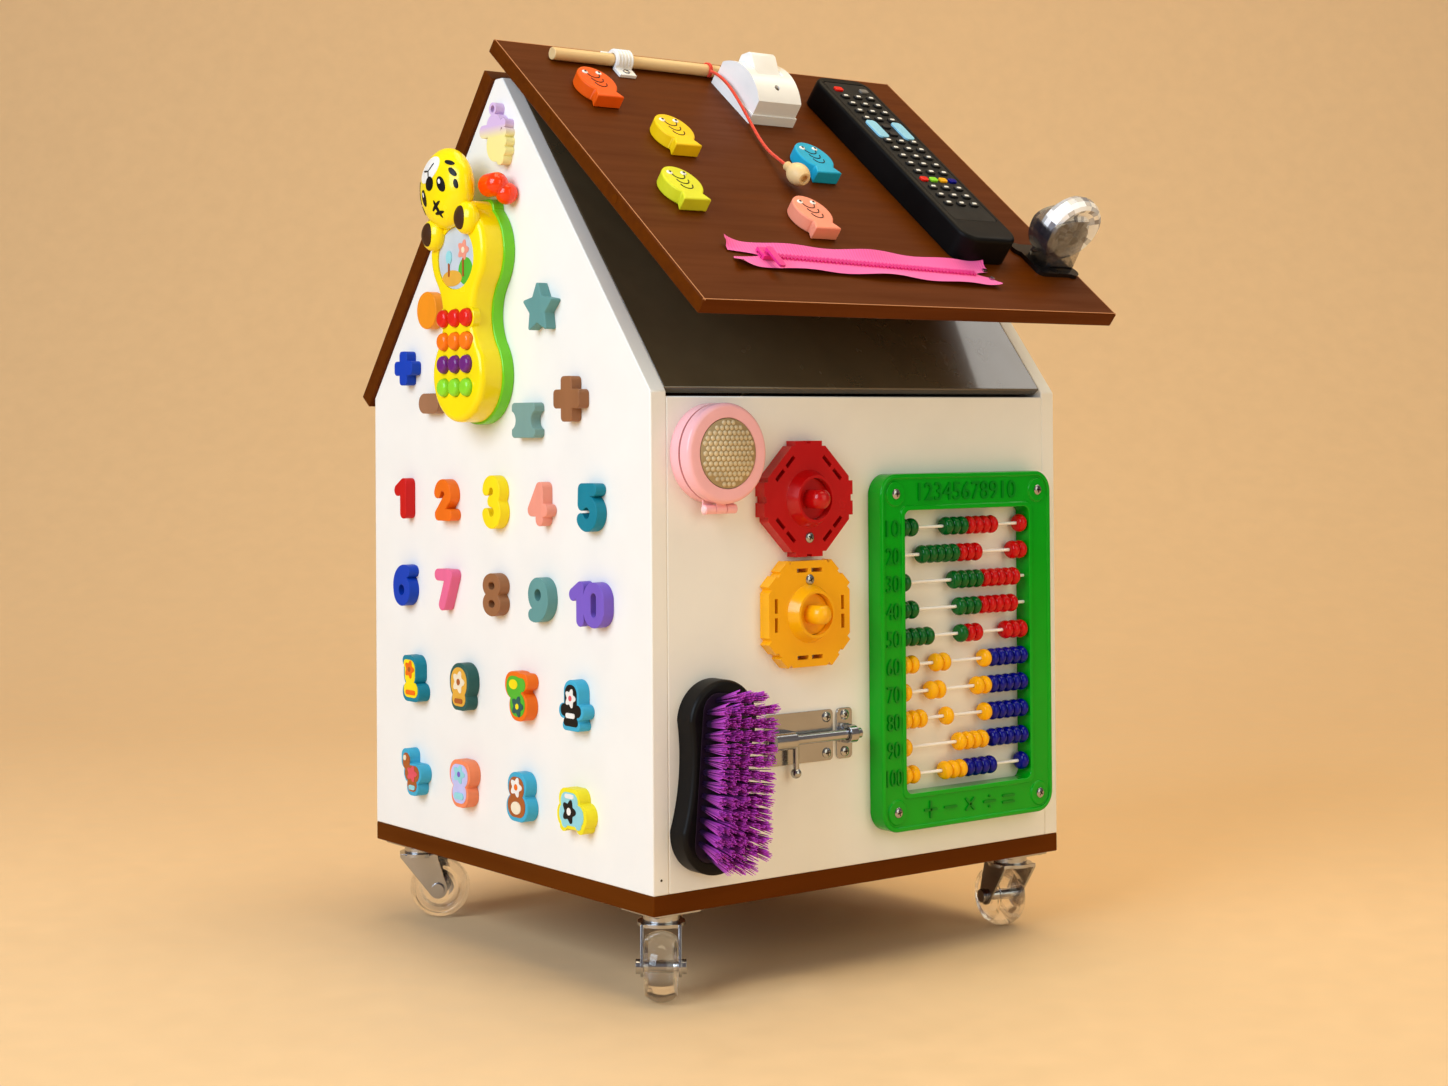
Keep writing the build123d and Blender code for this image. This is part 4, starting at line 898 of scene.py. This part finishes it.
# Picture blocks: side paint, print paint and the motif on the print; then the plain shapes
block_motif_shares = (
    ("teal", "yellow", (
        ("petals", -0.05, 0.2, 0.38, 0.34, "orange"),
        ("oval", -0.05, 0.2, 0.13, 0.11, "chestnut"),
        ("bar", 0.0, -0.3, 0.46, 0.1, "orange"))),
    ("deep_green", "gold", (
        ("petals", 0.0, 0.1, 0.46, 0.4, "cream"),
        ("oval", 0.0, 0.1, 0.16, 0.14, "chestnut"),
        ("bar", 0.0, -0.3, 0.36, 0.1, "chestnut"))),
    ("orange", "leaf", (
        ("oval", -0.1, 0.24, 0.36, 0.2, "yellow"),
        ("petals", 0.08, -0.2, 0.42, 0.36, "deep_green"),
        ("oval", 0.08, -0.2, 0.14, 0.12, "yellow"))),
    ("sky", "black", (
        ("petals", 0.0, 0.14, 0.36, 0.32, "white"),
        ("oval", 0.0, 0.14, 0.13, 0.11, "rose"),
        ("bar", 0.0, -0.2, 0.36, 0.1, "white"))),
    ("sky", "chestnut", (
        ("petals", 0.05, -0.02, 0.42, 0.3, "rose"),
        ("oval", -0.3, 0.3, 0.14, 0.12, "cream"),
        ("bar", 0.05, -0.32, 0.3, 0.1, "pale_sky"))),
    ("coral", "lilac", (
        ("petals", 0.0, 0.2, 0.46, 0.34, "pale_sky"),
        ("oval", 0.0, 0.2, 0.14, 0.12, "violet"),
        ("bar", 0.0, -0.26, 0.42, 0.14, "pale_sky"))),
    ("sky", "chestnut", (
        ("petals", 0.0, 0.2, 0.42, 0.34, "white"),
        ("oval", 0.0, 0.2, 0.15, 0.13, "orange"),
        ("oval", 0.0, -0.22, 0.42, 0.26, "cream"))),
    ("lemon", "pale_sky", (
        ("petals", -0.08, -0.04, 0.46, 0.4, "black"),
        ("oval", -0.08, -0.04, 0.17, 0.15, "white"),
        ("bar", -0.06, 0.26, 0.36, 0.09, "white"))),
)
block_shares = [(column, row) for row in block_row_shares for column in block_column_shares]
wall_table = [(index, on_gable(shares)) for index, shares in enumerate(block_shares)]
wall_table += [(paint, on_gable(shares)) for paint, shares in shape_shares.items()]
which_block = nearest(wall_table)


# The print follows the block's front outline, smaller by its share
def print_panel(mesh):
    front = max((p for p in mesh.polygons if p.normal.x < -front_facing_share), key=lambda p: p.area)
    corners = [mesh.vertices[i].co for i in front.vertices]
    centre = middle(corners)
    inner = [centre + (c - centre) * block_print_share for c in corners]
    outline = [(-c.y, c.z) for c in inner]
    bm = prism(outline, -centre.x - print_t, -centre.x + print_t)
    bm.transform(face_frame((0, 0, 0), (0, -1, 0), (0, 0, 1), (-1, 0, 0)))
    return bm


for solid in islands("wall_blocks"):
    found = which_block(middle_of(solid))
    is_picture = isinstance(found, int)
    paint = block_motif_shares[found][0] if is_picture else found
    label = "picture_block_" + str(found + 1) if is_picture else "shape_" + found
    block = piece(label, solid, paint, "house", None, mid_soft)
    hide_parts("wall_blocks")
    if is_picture:
        piece(label + "_print", print_panel(block.data), block_motif_shares[found][1], "house")
        layered(label + "_motif", block_motif_shares[found][2], block_w, block_h,
                on_gable(block_shares[found], 0, 0, block_t + print_t))

# Toy phone
phone_z = on_gable(phone_shares).to_translation().z
phone_keys = {"red": "key_red", "orange": "key_orange", "purple": "key_purple", "green": "key_lime"}


def phone_back_paint(centre):
    return "lens" if centre.z > phone_z + window_v else "phone_lime"


dress("phone_back_shell", phone_back_paint, block_soft)
dress("phone_front_shell", "phone_yellow", 0)
for row, paint in phone_keys.items():
    dress("phone_keys_" + row, paint, 0)
collar_profile = [(collar_inner, -collar_deep), (collar_outer, -collar_deep),
                  (collar_outer, -2 * collar_under), (collar_outer - collar_under, -collar_under),
                  (collar_inner, -collar_under), (collar_inner, -collar_deep)]
collars = []
for side in (-1, 1):
    place = on_gable(phone_shares, side * phone_key_u, phone_key_v, phone_front)
    collars.append((lathe(collar_profile, 36), place))
piece("phone_key_collars", joined(collars), "phone_yellow", "house")
window_layer_shares = (
    ("oval", 0.0, 0.0, 1.0, 1.0, "pale_grey"),
    ("oval", 0.26, -0.22, 0.4, 0.44, "leaf"),
    ("oval", -0.12, -0.32, 0.56, 0.26, "gold"),
    ("petals", 0.2, 0.12, 0.26, 0.28, "salmon"),
    ("oval", 0.2, 0.12, 0.09, 0.1, "cream"),
    ("bar", 0.2, -0.16, 0.04, 0.3, "chestnut"),
    ("oval", -0.2, 0.02, 0.16, 0.22, "pale_sky"),
    ("bar", -0.2, -0.18, 0.03, 0.22, "chestnut"),
)
layered("phone_picture", window_layer_shares, window_w - 2 * window_gap, window_h - 2 * window_gap,
        on_gable(phone_shares, 0, window_v, phone_front - window_deep + print_t))


def flat_ball(radius, thick):
    return lambda x, y: thick * sqrt(max(0.0, 1 - (x * x + y * y) / radius ** 2))


# Face marks as shares of the head: middle, width, height and turn in degrees
face_black_shares = [(0.0, 0.1, 0.34, 0.36, 0), (0.0, 0.36, 0.05, 0.26, 0), (0.0, -0.58, 0.09, 0.46, 0),
                     (0.0, -0.5, 0.42, 0.08, 12), (0.0, -0.68, 0.34, 0.08, -12)]
for side in (-1, 1):
    face_black_shares += [(side * 0.42, -0.1, 0.24, 0.42, side * 8),
                          (side * 0.8, 0.06, 0.11, 0.3, side * 24),
                          (side * 0.74, 0.34, 0.1, 0.3, side * 50),
                          (side * 0.8, -0.26, 0.09, 0.24, side * -10),
                          (side * 0.14, 0.5, 0.26, 0.05, side * 25)]
face_white_shares = [(0.0, 0.48, 0.9, 0.62, 0)]
eye_glint_shares = [(side * 0.4, -0.02, 0.08, 0.13, 0) for side in (-1, 1)]
head_frame = on_gable(phone_shares, *head_place, face_turn)


def face_marks(name, marks, paint, lift):
    parts = []
    for x, y, w, h, turn in marks:
        outline = moved(oval(w * head_r, h * head_r), x * head_r, y * head_r, radians(turn))
        parts.append((decal(outline, flat_ball(head_r, head_t), lift), head_frame))
    piece(name, joined(parts), paint, "house", angle=smooth)


face_marks("cub_muzzle", face_white_shares, "white", print_t)
face_marks("cub_marks", face_black_shares, "black", print_t + print_step)
face_marks("cub_glints", eye_glint_shares, "white", print_t + 2 * print_step)
ear_outline = oval(*[ear_r * share for share in ear_pad_shares])
ear_pads = [(decal(ear_outline, flat_ball(ear_r, ear_t)), on_gable(phone_shares, *ear)) for ear in ear_places]
piece("cub_ear_pads", joined(ear_pads), "ear_brown", "house", angle=smooth)

# Folding compact brush with its cushion
compact_top = 2 * compact_half_t + compact_slit
cushion_curve = (pad_r ** 2 + pad_dome ** 2) / (2 * pad_dome)


def cushion_height(reach):
    return sqrt(cushion_curve ** 2 - reach ** 2) - cushion_curve + pad_dome


dress("compact_base", "compact_pink", block_soft)
for solid in islands("compact_lid"):
    if middle_of(solid).y > -half_d - compact_top + pad_deep:
        shell = piece("compact_lid_shell", solid, "compact_pink", "compact_top", None, block_soft)
        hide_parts("compact_lid")
reaches = [pad_r * k / cushion_rings for k in range(cushion_rings, -1, -1)]
profile = [(pad_r, -pad_deep)] + [(reach, cushion_height(reach)) for reach in reaches]
cushion = piece("compact_cushion", lathe(profile, 40), "pad_beige", "compact_top",
                on_front(compact_shares, 0, 0, compact_top), angle=smooth)
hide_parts("compact_lid")
cells = []
row_step = cell_pitch * sqrt(3) / 2
row_count = int(pad_r / row_step)
for row in range(-row_count, row_count + 1):
    for column in range(-row_count, row_count + 1):
        x = (column + 0.5 * (row % 2)) * cell_pitch
        y = row * row_step
        reach = sqrt(x * x + y * y)
        if reach < pad_r - cell_r:
            place = on_front(compact_shares, x, y, compact_top + cushion_height(reach))
            cells.append((dome(cell_r, cell_t, 10, 3), place))
piece("compact_cells", joined(cells), "pad_cell", "compact_top", angle=smooth)
comb = []
comb_r = compact_r - compact_slit
comb_top = compact_slit - print_t
for x, y in circle(comb_r, comb_pin_count):
    pin = stud(comb_pin_r, -print_t, comb_top, 8)
    comb.append((pin, on_front(compact_shares, x, y, compact_half_t)))
piece("compact_comb", joined(comb), "comb_dark", "house")
caps = []
pin_out = compact_half_t + compact_slit / 2
for side in (-1, 1):
    place = on_front(compact_shares, side * compact_pin_x, -compact_pin_drop, pin_out)
    caps.append((dome(pin_cap_r, pin_cap_t), place @ Matrix.Rotation(side * pi / 2, 4, "Y")))
piece("compact_pin_caps", joined(caps), "button_pink", "house", angle=smooth)

# Octagon plates and knobs
plate_table = [("octagon_red", on_front(octagon_shares)),
               ("octagon_yellow", on_front(octagon_shares, 0, -octagon_step))]
dress("knob_plates", nearest(plate_table), mid_soft)
dress("red_knob", "octagon_red", mid_soft)
dress("yellow_knob", "octagon_yellow", mid_soft)
screw(on_front(octagon_shares, 0, octagon_screw_v[0], octagon_t), "house", pan_r)
screw(on_front(octagon_shares, 0, octagon_screw_v[1] - octagon_step, octagon_t), "house", pan_r)

# Abacus frame, wires, numbers and signs
dress("abacus_frame", "abacus_green", mid_soft)
dress("abacus_wires", "wire_white", 0)
boss_x = abacus_w / 2 - abacus_boss_in
boss_y = abacus_h / 2 - abacus_boss_in
for x, y in product((-1, 1), repeat=2):
    screw(on_front(abacus_shares, x * boss_x, y * boss_y, abacus_t), "house", pan_r)
wire_middle = (wires - 1) / 2
mark_out = abacus_t - abacus_recess
side_band = (abacus_w + abacus_window_w) / 4
end_band = (abacus_h + abacus_window_h) / 4
number("abacus_ones", "12345678910", mark_ones, on_front(abacus_shares, 0, end_band, mark_out))
for row in range(wires):
    width = mark_hundred_w if row == wires - 1 else mark_tens[0]
    place = on_front(abacus_shares, -side_band, (wire_middle - row) * wire_pitch, mark_out)
    number("abacus_tens_" + str(row + 1), str(10 * (row + 1)), (width, mark_tens[1]), place)


def bar(x, y, long, turn=0.0):
    return prism(moved(rounded(long, sign_bar, sign_bar / 3, 2), x, y, turn), -mark_rise, mark_rise)


def dot(x, y):
    return prism(moved(oval(sign_bar, sign_bar), x, y), -mark_rise, mark_rise)


dot_gap = dot_gap_share * sign_gap
signs = (
    (bar(0, 0, sign_long), bar(0, 0, sign_long, pi / 2)),
    (bar(0, 0, sign_long),),
    (bar(0, 0, sign_long, pi / 4), bar(0, 0, sign_long, -pi / 4)),
    (bar(0, 0, sign_long), dot(0, dot_gap), dot(0, -dot_gap)),
    (bar(0, sign_gap, sign_long), bar(0, -sign_gap, sign_long)),
)
sign_parts = [(part, on_front(abacus_shares, (index - (len(signs) - 1) / 2) * sign_step, -end_band, mark_out))
              for index, parts in enumerate(signs) for part in parts]
# The signs take the same darker green: painted shade of their raised edges
piece("abacus_signs", joined(sign_parts), "abacus_mark_painted_shade", "house")


# Beads: smooth rings, five of one colour and five of the other on each wire
def bead():
    turns = [pi * k / bead_steps for k in range(1, bead_steps)]
    profile = [(bead_bore, -bead_half), (bead_face_r, -bead_half)]
    profile += [(bead_face_r + (bead_r - bead_face_r) * sin(t), -bead_half * cos(t)) for t in turns]
    profile += [(bead_face_r, bead_half), (bead_bore, bead_half), (bead_bore, -bead_half)]
    return lathe(profile, 20)


rows = {}
for node in ["parked_beads"] + ["beads_row_" + str(row + 1).zfill(2) for row in range(wires)]:
    for solid in islands(node):
        centre = middle_of(solid)
        solid.free()
        row = round(wire_middle - (centre.z - on_front(abacus_shares).to_translation().z) / wire_pitch)
        rows.setdefault(row, []).append((centre.x, centre, node))
bead_groups = {}
for row, beads in sorted(rows.items()):
    left, right = ("bead_green", "bead_red") if row < wires / 2 else ("bead_yellow", "bead_blue")
    for index, (x, centre, node) in enumerate(sorted(beads, key=lambda item: item[0])):
        place = Matrix.Translation(centre) @ Matrix.Rotation(pi / 2, 4, "Y")
        bead_groups.setdefault((node, left if index < colour_beads else right), []).append((bead(), place))
for (node, paint), parts in bead_groups.items():
    beads = piece(node + "_" + paint, joined(parts), paint, body_of(node), angle=smooth)
    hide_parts(node)

# Barrel bolt
dress("bolt_plate", "steel", thin_soft)
dress("bolt_rod", "steel", thin_soft)
for x, v in bolt_screw_places:
    for side in (1, -1):
        screw(on_front(bolt_shares, x, side * v, bolt_plate_t), "house", pan_r)

# Scrub brush: tufts of strands leaning outwards, on a dark purple bed that is painted shade between the tufts
dress("brush_handle", "brush_black")
pick = Random(7)


def strand(bm, foot, top):
    outs = [Vector((x, y, 0)) for x, y in circle(bristle_r, bristle_sides)]
    low = [bm.verts.new(foot + out) for out in outs]
    high = [bm.verts.new(top + out * bristle_tip_share) for out in outs]
    skin(bm, [low, high])
    bm.faces.new(high)


def tuft(bm, x, y):
    lean = Vector((bristle_splay_share * x / (tuft_column_step * (tuft_columns - 1) / 2),
                   bristle_splay_share * y / (tuft_row_step * (tuft_rows - 1) / 2), 1))
    for k in range(tuft_strands):
        reach = tuft_r * sqrt(pick.random())
        turn = 2 * pi * pick.random()
        aside = Vector((reach * cos(turn), reach * sin(turn), 0))
        tall = bristle_len * pick.uniform(*bristle_tall_shares)
        foot = Vector((x, y, 0)) + aside
        strand(bm, foot, foot + lean * tall + aside * tuft_flare)


brush_face = on_front(brush_shares, 0, 0, brush_t, brush_turn)
bristles = bmesh.new()
for row in range(tuft_rows):
    for column in range(tuft_columns):
        corner = row in (0, tuft_rows - 1) and column in (0, tuft_columns - 1)
        x = (column - (tuft_columns - 1) / 2) * tuft_column_step
        y = (row - (tuft_rows - 1) / 2) * tuft_row_step
        if not corner:
            tuft(bristles, x, y)
bristle_piece = piece("brush_tufts", bristles, "bristle", "house", brush_face)
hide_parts("brush_bristles")
# A dark purple sheet at the tufts' feet: painted shade of the bristle roots between the tufts
bed = prism(rounded(pad_bed_w, pad_bed_h, pad_bed_corner), -pad_bed_t, 0)
bed_piece = piece("brush_root_shade_sheet", bed, "bristle_root_shade", "house", brush_face, thin_soft)
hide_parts("brush_bristles")

# Light switch
dress("switch_box", "switch_white")
dress("switch_rocker", "switch_white", mid_soft)
piece("switch_lamp", dome(lamp_w / 2, lamp_h / 2), "lamp_dark", "lid",
      on_lid(switch_shares, 0, -lamp_down, lamp_up - lamp_h / 2), angle=smooth)

# Remote control: key sheet, keys and their marks
dress("remote_shell", "remote_black", mid_soft)
sheet_v = remote_len / 2 - keypad_top - keypad_len / 2
sheet_out = remote_t - keypad_under
sheet_shape = prism(rounded(keypad_w, keypad_len, keypad_corner), -keypad_t, 0)
sheet_place = on_lid(remote_shares, 0, sheet_v, sheet_out)
key_sheet = piece("remote_sheet", sheet_shape, "key_black", "keypad", sheet_place)
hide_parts("remote_keypad")
keys = {}
key_marks = []


def key(paint, x, v, width=key_w, height=key_h):
    shape = prism(rounded(width, height, min(width, height) / 3), -print_t, key_rise)
    place = on_lid(remote_shares, x, sheet_v + v, sheet_out)
    keys.setdefault(paint, []).append((shape, place))
    return place


def row_v(row):
    return keypad_len / 2 - (row + 1) * keypad_len / (key_rows + 1)


for row in range(key_rows):
    if row == 0:
        key("key_red", -key_step, row_v(row))
        key("key_grey", key_step, row_v(row))
    elif row in rocker_rows:
        key("key_black_high", 0, row_v(row))
    elif row == colour_row:
        for column, paint in enumerate(colour_keys):
            x = (column - (len(colour_keys) - 1) / 2) * colour_step
            key(paint, x, row_v(row), key_w * colour_key_share)
    elif row != bare_row:
        for column in range(key_columns):
            place = key("key_black_high", (column - (key_columns - 1) / 2) * key_step, row_v(row))
            mark = prism(rounded(key_mark_w, key_mark_h, key_mark_h / 3, 2), -print_t, print_t)
            key_marks.append((mark, place @ Matrix.Translation((0, 0, key_rise))))
rocker_v = (row_v(rocker_rows[0]) + row_v(rocker_rows[1])) / 2
for side in (-1, 1):
    key("sky_key", side * key_step, rocker_v, rocker_w, rocker_h)
for paint, parts in keys.items():
    key_piece = piece("remote_keys_" + paint, joined(parts), paint, "keypad", None, thin_soft)
    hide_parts("remote_keypad")
piece("remote_key_marks", joined(key_marks), "key_white", "keypad")

# Fish blocks with eyes and fins drawn on them
fish_paints = ("fish_orange", "fish_yellow", "fish_lime", "fish_cyan", "fish_salmon")
fish_table = [(paint, on_lid(shares, 0, fish_len / 2)) for paint, shares in zip(fish_paints, fish_shares)]
dress("fish_blocks", nearest(fish_table), block_soft)
fish_whites = []
fish_blacks = []
for shares in fish_shares:
    for side in (-1, 1):
        eye = on_lid(shares, side * fish_eye_x, fish_eye_v, fish_t)
        pupil = eye @ Matrix.Translation((0, 0, fish_eye_t / 2))
        fish_whites.append((dome(fish_eye_r, fish_eye_t, 16, 4), eye))
        fish_blacks.append((dome(fish_eye_r / 2, fish_eye_t, 12, 3), pupil))
    for k in range(fish_arcs):
        arc = arc_tube(fish_arc_r, fish_arc_t, pi, pi, 16, 6)
        arc_v = fish_eye_v - (k + fish_arc_start_share) * fish_arc_step
        fish_blacks.append((arc, on_lid(shares, 0, arc_v, fish_t)))
piece("fish_eyes", joined(fish_whites), "white", "lid", angle=smooth)
piece("fish_marks", joined(fish_blacks), "black", "lid", angle=smooth)


# Fishing rod, clip, cord and bead
def around_rod(x):
    return on_lid((0, rod_shares[1]), x, 0, rod_up) @ Matrix.Rotation(pi / 2, 4, "Y")


dress("fishing_rod", "turned_wood", mid_soft)
bead_skin = dress("fishing_bead", "turned_wood", thin_soft)[0]
dress("rod_clip", "switch_white", mid_soft)
ribs = []
for k in range(clip_ribs):
    x = clip_share * half_w + clip_w * ((k + 0.5) / clip_ribs - 0.5)
    ribs.append((arc_tube(clip_outer, clip_rib_r, pi / 2, pi), around_rod(x)))
piece("clip_ribs", joined(ribs), "switch_white", "lid", angle=smooth)
for side in (-1, 1):
    screw(on_lid((clip_share, rod_shares[1]), 0, side * clip_screw_out, clip_t), "lid", small_screw_r)
whips = []
for k in range(whip_turns):
    x = whip_x + (2 * k + 1 - whip_turns) * whip_tube
    whips.append((arc_tube(rod_r + whip_tube, whip_tube, pi / 3, 4 * pi / 3), around_rod(x)))
piece("rod_whipping", joined(whips), "cord", "rod", angle=smooth)
route = [lid_face @ Vector((x, -down, up)) for x, down, up in cord_route]
curve = bpy.data.curves.new("cord_line", "CURVE")
curve.dimensions = "3D"
curve.bevel_depth = cord_d / 2
curve.bevel_resolution = 4
curve.resolution_u = 12
spline = curve.splines.new("NURBS")
spline.points.add(len(route) - 1)
for point, place in zip(spline.points, route):
    point.co = (*place, 1)
spline.order_u = 3
spline.use_endpoint_u = True
cord = linked("fishing_line", curve)
curve.materials.append(mats["cord"])
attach(cord, "rod")
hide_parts("fishing_cord")

# Zipper: two tape halves that part at both ends, teeth, stops and slider
zip_place = on_lid(zip_shares, 0, 0, 0, zip_turn)


def zip_height(x, y):
    quick = sin(2 * pi * (zip_quick_waves * x + zip_slow_waves * abs(y)) / zip_len)
    slow = sin(2 * pi * zip_slow_waves * x / zip_len + 1)
    wave = 1 + zip_quick_share * quick + zip_slow_share * slow
    near_end = max(0.0, 1 - (zip_len / 2 - abs(x)) / zip_end_len)
    outer = max(0.0, abs(y) - zip_flat) / (zip_w / 2 - zip_flat)
    return zip_up + (zip_wave * wave + zip_end_lift * near_end ** 2) * outer


def split_gap(x):
    left = max(0.0, 1 - (x + zip_len / 2) / zip_split_len)
    right = max(0.0, 1 - (zip_len / 2 - x) / zip_tail_len)
    return zip_split_w * sqrt(max(left, right))


tape = bmesh.new()
for side in (-1, 1):
    grid = []
    for i in range(zip_rows + 1):
        x = zip_len * (i / zip_rows - 0.5)
        end = i in (0, zip_rows)
        line = []
        for j in range(zip_half_columns + 1):
            y = side * (split_gap(x) + (zip_w / 2 - split_gap(x)) * j / zip_half_columns)
            ragged = pick.uniform(0, zip_fray) * (1 if i == 0 else -1) if end else 0
            line.append(tape.verts.new((x + ragged, y, zip_height(x, y))))
        grid.append(line)
    for i in range(zip_rows):
        for j in range(zip_half_columns):
            tape.faces.new((grid[i][j], grid[i + 1][j], grid[i + 1][j + 1], grid[i][j + 1]))
bmesh.ops.remove_doubles(tape, verts=tape.verts, dist=print_step)
bmesh.ops.recalc_face_normals(tape, faces=tape.faces)
tape_piece = piece("zip_tape", tape, "tape", "lid", zip_place, angle=smooth)
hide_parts("zipper_tape")
teeth = []
tooth_count = int((zip_len - zip_split_len - zip_tail_len) / tooth_step)
for k in range(tooth_count):
    x = zip_split_len - zip_len / 2 + k * tooth_step
    side = 1 if k % 2 else -1
    shape = prism(rounded(tooth_long, tooth_w, tooth_long / 3, 2), -print_t, tooth_rise)
    teeth.append((shape, zip_place @ Matrix.Translation((x, side * tooth_long / 2, zip_up))))
stop_x = zip_len / 2 - zip_fray - stop_long / 2
stops = []
for side in (-1, 1):
    stop = prism(rounded(stop_long, stop_w, stop_w / 4, 2), -print_t, tooth_rise)
    out = split_gap(stop_x + stop_long / 2) + stop_w / 2
    stops.append((stop, zip_place @ Matrix.Translation((stop_x, side * out, zip_up))))
teeth_piece = piece("zip_teeth", joined(teeth), "teeth", "lid")
stop_piece = piece("zip_stops", joined(stops), "steel", "lid")
dress("zipper_slider", "teeth", thin_soft)

# Hooded wheel on its flange
spinner_place = on_lid(spinner_shares)
flange_split = spinner_place @ Vector((0, 0, spinner_plate_t))
for solid in islands("spinner_bracket"):
    whole = solid.verts[:] + solid.edges[:] + solid.faces[:]
    bmesh.ops.bisect_plane(solid, geom=whole, plane_co=flange_split, plane_no=lid_out)
    bracket = piece("spinner_bracket_skin", solid, "smoke", "lid", None, thin_soft)
    bracket.data.materials.append(mats["flange_black"])
    bracket.data.materials.append(mats["pane"])
    for face in bracket.data.polygons:
        place = spinner_place.inverted() @ face.center
        if place.z < spinner_plate_t + print_step:
            face.material_index = 1
        elif place.x > spinner_trail - spinner_half:
            face.material_index = 2
    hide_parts("spinner_bracket")
wheel_profile = [(spinner_hub_r, -spinner_half)]
wheel_profile += [(spinner_r * reach, -spinner_half * deep) for reach, deep in rim_shares]
wheel_profile += [(spinner_r * reach, spinner_half * deep) for reach, deep in rim_shares[::-1]]
wheel_profile += [(spinner_hub_r, spinner_half), (spinner_hub_r, -spinner_half)]
axle = spinner_place @ Matrix.Translation((spinner_trail, 0, spinner_axle_up))
wheel_place = axle @ Matrix.Rotation(pi / 2, 4, "X")
wheel_shape = lathe(wheel_profile, spinner_facets)
crystal = piece("spinner_crystal", wheel_shape, "crystal", "spinner", wheel_place, angle=faceted)
# Each facet is clear, a white glint of painted highlight or grey painted shade, at random
crystal.data.materials.append(mats["glint"])
crystal.data.materials.append(mats["painted_facet_shade"])
for face in crystal.data.polygons:
    face.material_index = pick.choice(painted_facet_mix)
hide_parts("spinner_wheel")

# Hinge screws on the fixed leaves, sunk in the steel
rear_up = Vector((0, -cos(rear_slope), sin(rear_slope)))
rear_out = Vector((0, sin(rear_slope), cos(rear_slope)))
rear_face = face_frame(rear_apex, (-1, 0, 0), rear_up, rear_out)
for side in (-1, 1):
    for step in (-1, 0, 1):
        x = side * hinge_share * half_w + step * hinge_screw_x
        screw(spot(rear_face, x, -hinge_screw_down, rear_leaf_out), "house", small_screw_r)

# All the screws
for body, spots in screws.items():
    heads = [(screw_head(radius), place) for place, radius in spots]
    # Slits in dark paint: painted shade for their hollows
    slits = []
    for place, radius in spots:
        turn = pick.uniform(0, pi)
        for quarter in (0, pi / 2):
            slits.append((screw_slit(radius), place @ Matrix.Rotation(turn + quarter, 4, "Z")))
    piece("screw_heads_" + body, joined(heads), "steel", body)
    piece("screw_slit_shades_" + body, joined(slits), "dark_steel_and_slit_shade", body)

# Floor sweep
away = Vector((-sin(camera_azimuth), cos(camera_azimuth), 0))
aside = Vector((cos(camera_azimuth), sin(camera_azimuth), 0))
sweep_turns = [pi / 2 * k / sweep_steps for k in range(1, sweep_steps + 1)]
profile = [(-floor_near, 0), (floor_far, 0)]
profile += [(floor_far + sweep_r * sin(t), sweep_r * (1 - cos(t))) for t in sweep_turns]
profile += [(floor_far + sweep_r, sweep_top)]
floor_shape = bmesh.new()
edges = [[floor_shape.verts.new(away * d + aside * s + Vector((0, 0, z))) for d, z in profile]
         for s in (-floor_side, floor_side)]
for k in range(len(profile) - 1):
    floor_shape.faces.new((edges[0][k], edges[1][k], edges[1][k + 1], edges[0][k + 1]))
floor_mesh = smooth_mesh("floor", floor_shape)
plastic("floor", floor_colour, 0.6, grain=40.0, vary=0.02)
floor_mesh.materials.append(mats["floor"])
floor = linked("floor", floor_mesh)

# Lamps and the light of the room
for name, (place, size, power, colour) in lamps.items():
    light = bpy.data.lights.new(name, "AREA")
    light.energy = power
    light.size = size
    light.color = colour
    lamp = linked(name, light)
    lamp.location = place
    lamp.rotation_euler = (Vector(lamp_target) - Vector(place)).to_track_quat("-Z", "Y").to_euler()
world = bpy.data.worlds.new("studio")
world.use_nodes = True
settle(world.node_tree.nodes["Background"], {"Color": (*world_colour, 1), "Strength": world_strength})
bpy.context.scene.world = world
bpy.context.scene.view_settings.view_transform = "Standard"

# Camera
camera = bpy.data.cameras.new("camera")
camera.lens = camera_lens
camera.sensor_width = camera_sensor
camera.shift_x, camera.shift_y = camera_shift
camera_obj = linked("camera", camera)
ahead = away * cos(camera_elevation) - Vector((0, 0, sin(camera_elevation)))
above = aside.cross(ahead)
rolled_aside = aside * cos(camera_roll) + above * sin(camera_roll)
rolled_above = above * cos(camera_roll) - aside * sin(camera_roll)
camera_obj.matrix_world = face_frame(camera_place, rolled_aside, rolled_above, -ahead)
bpy.context.scene.camera = camera_obj
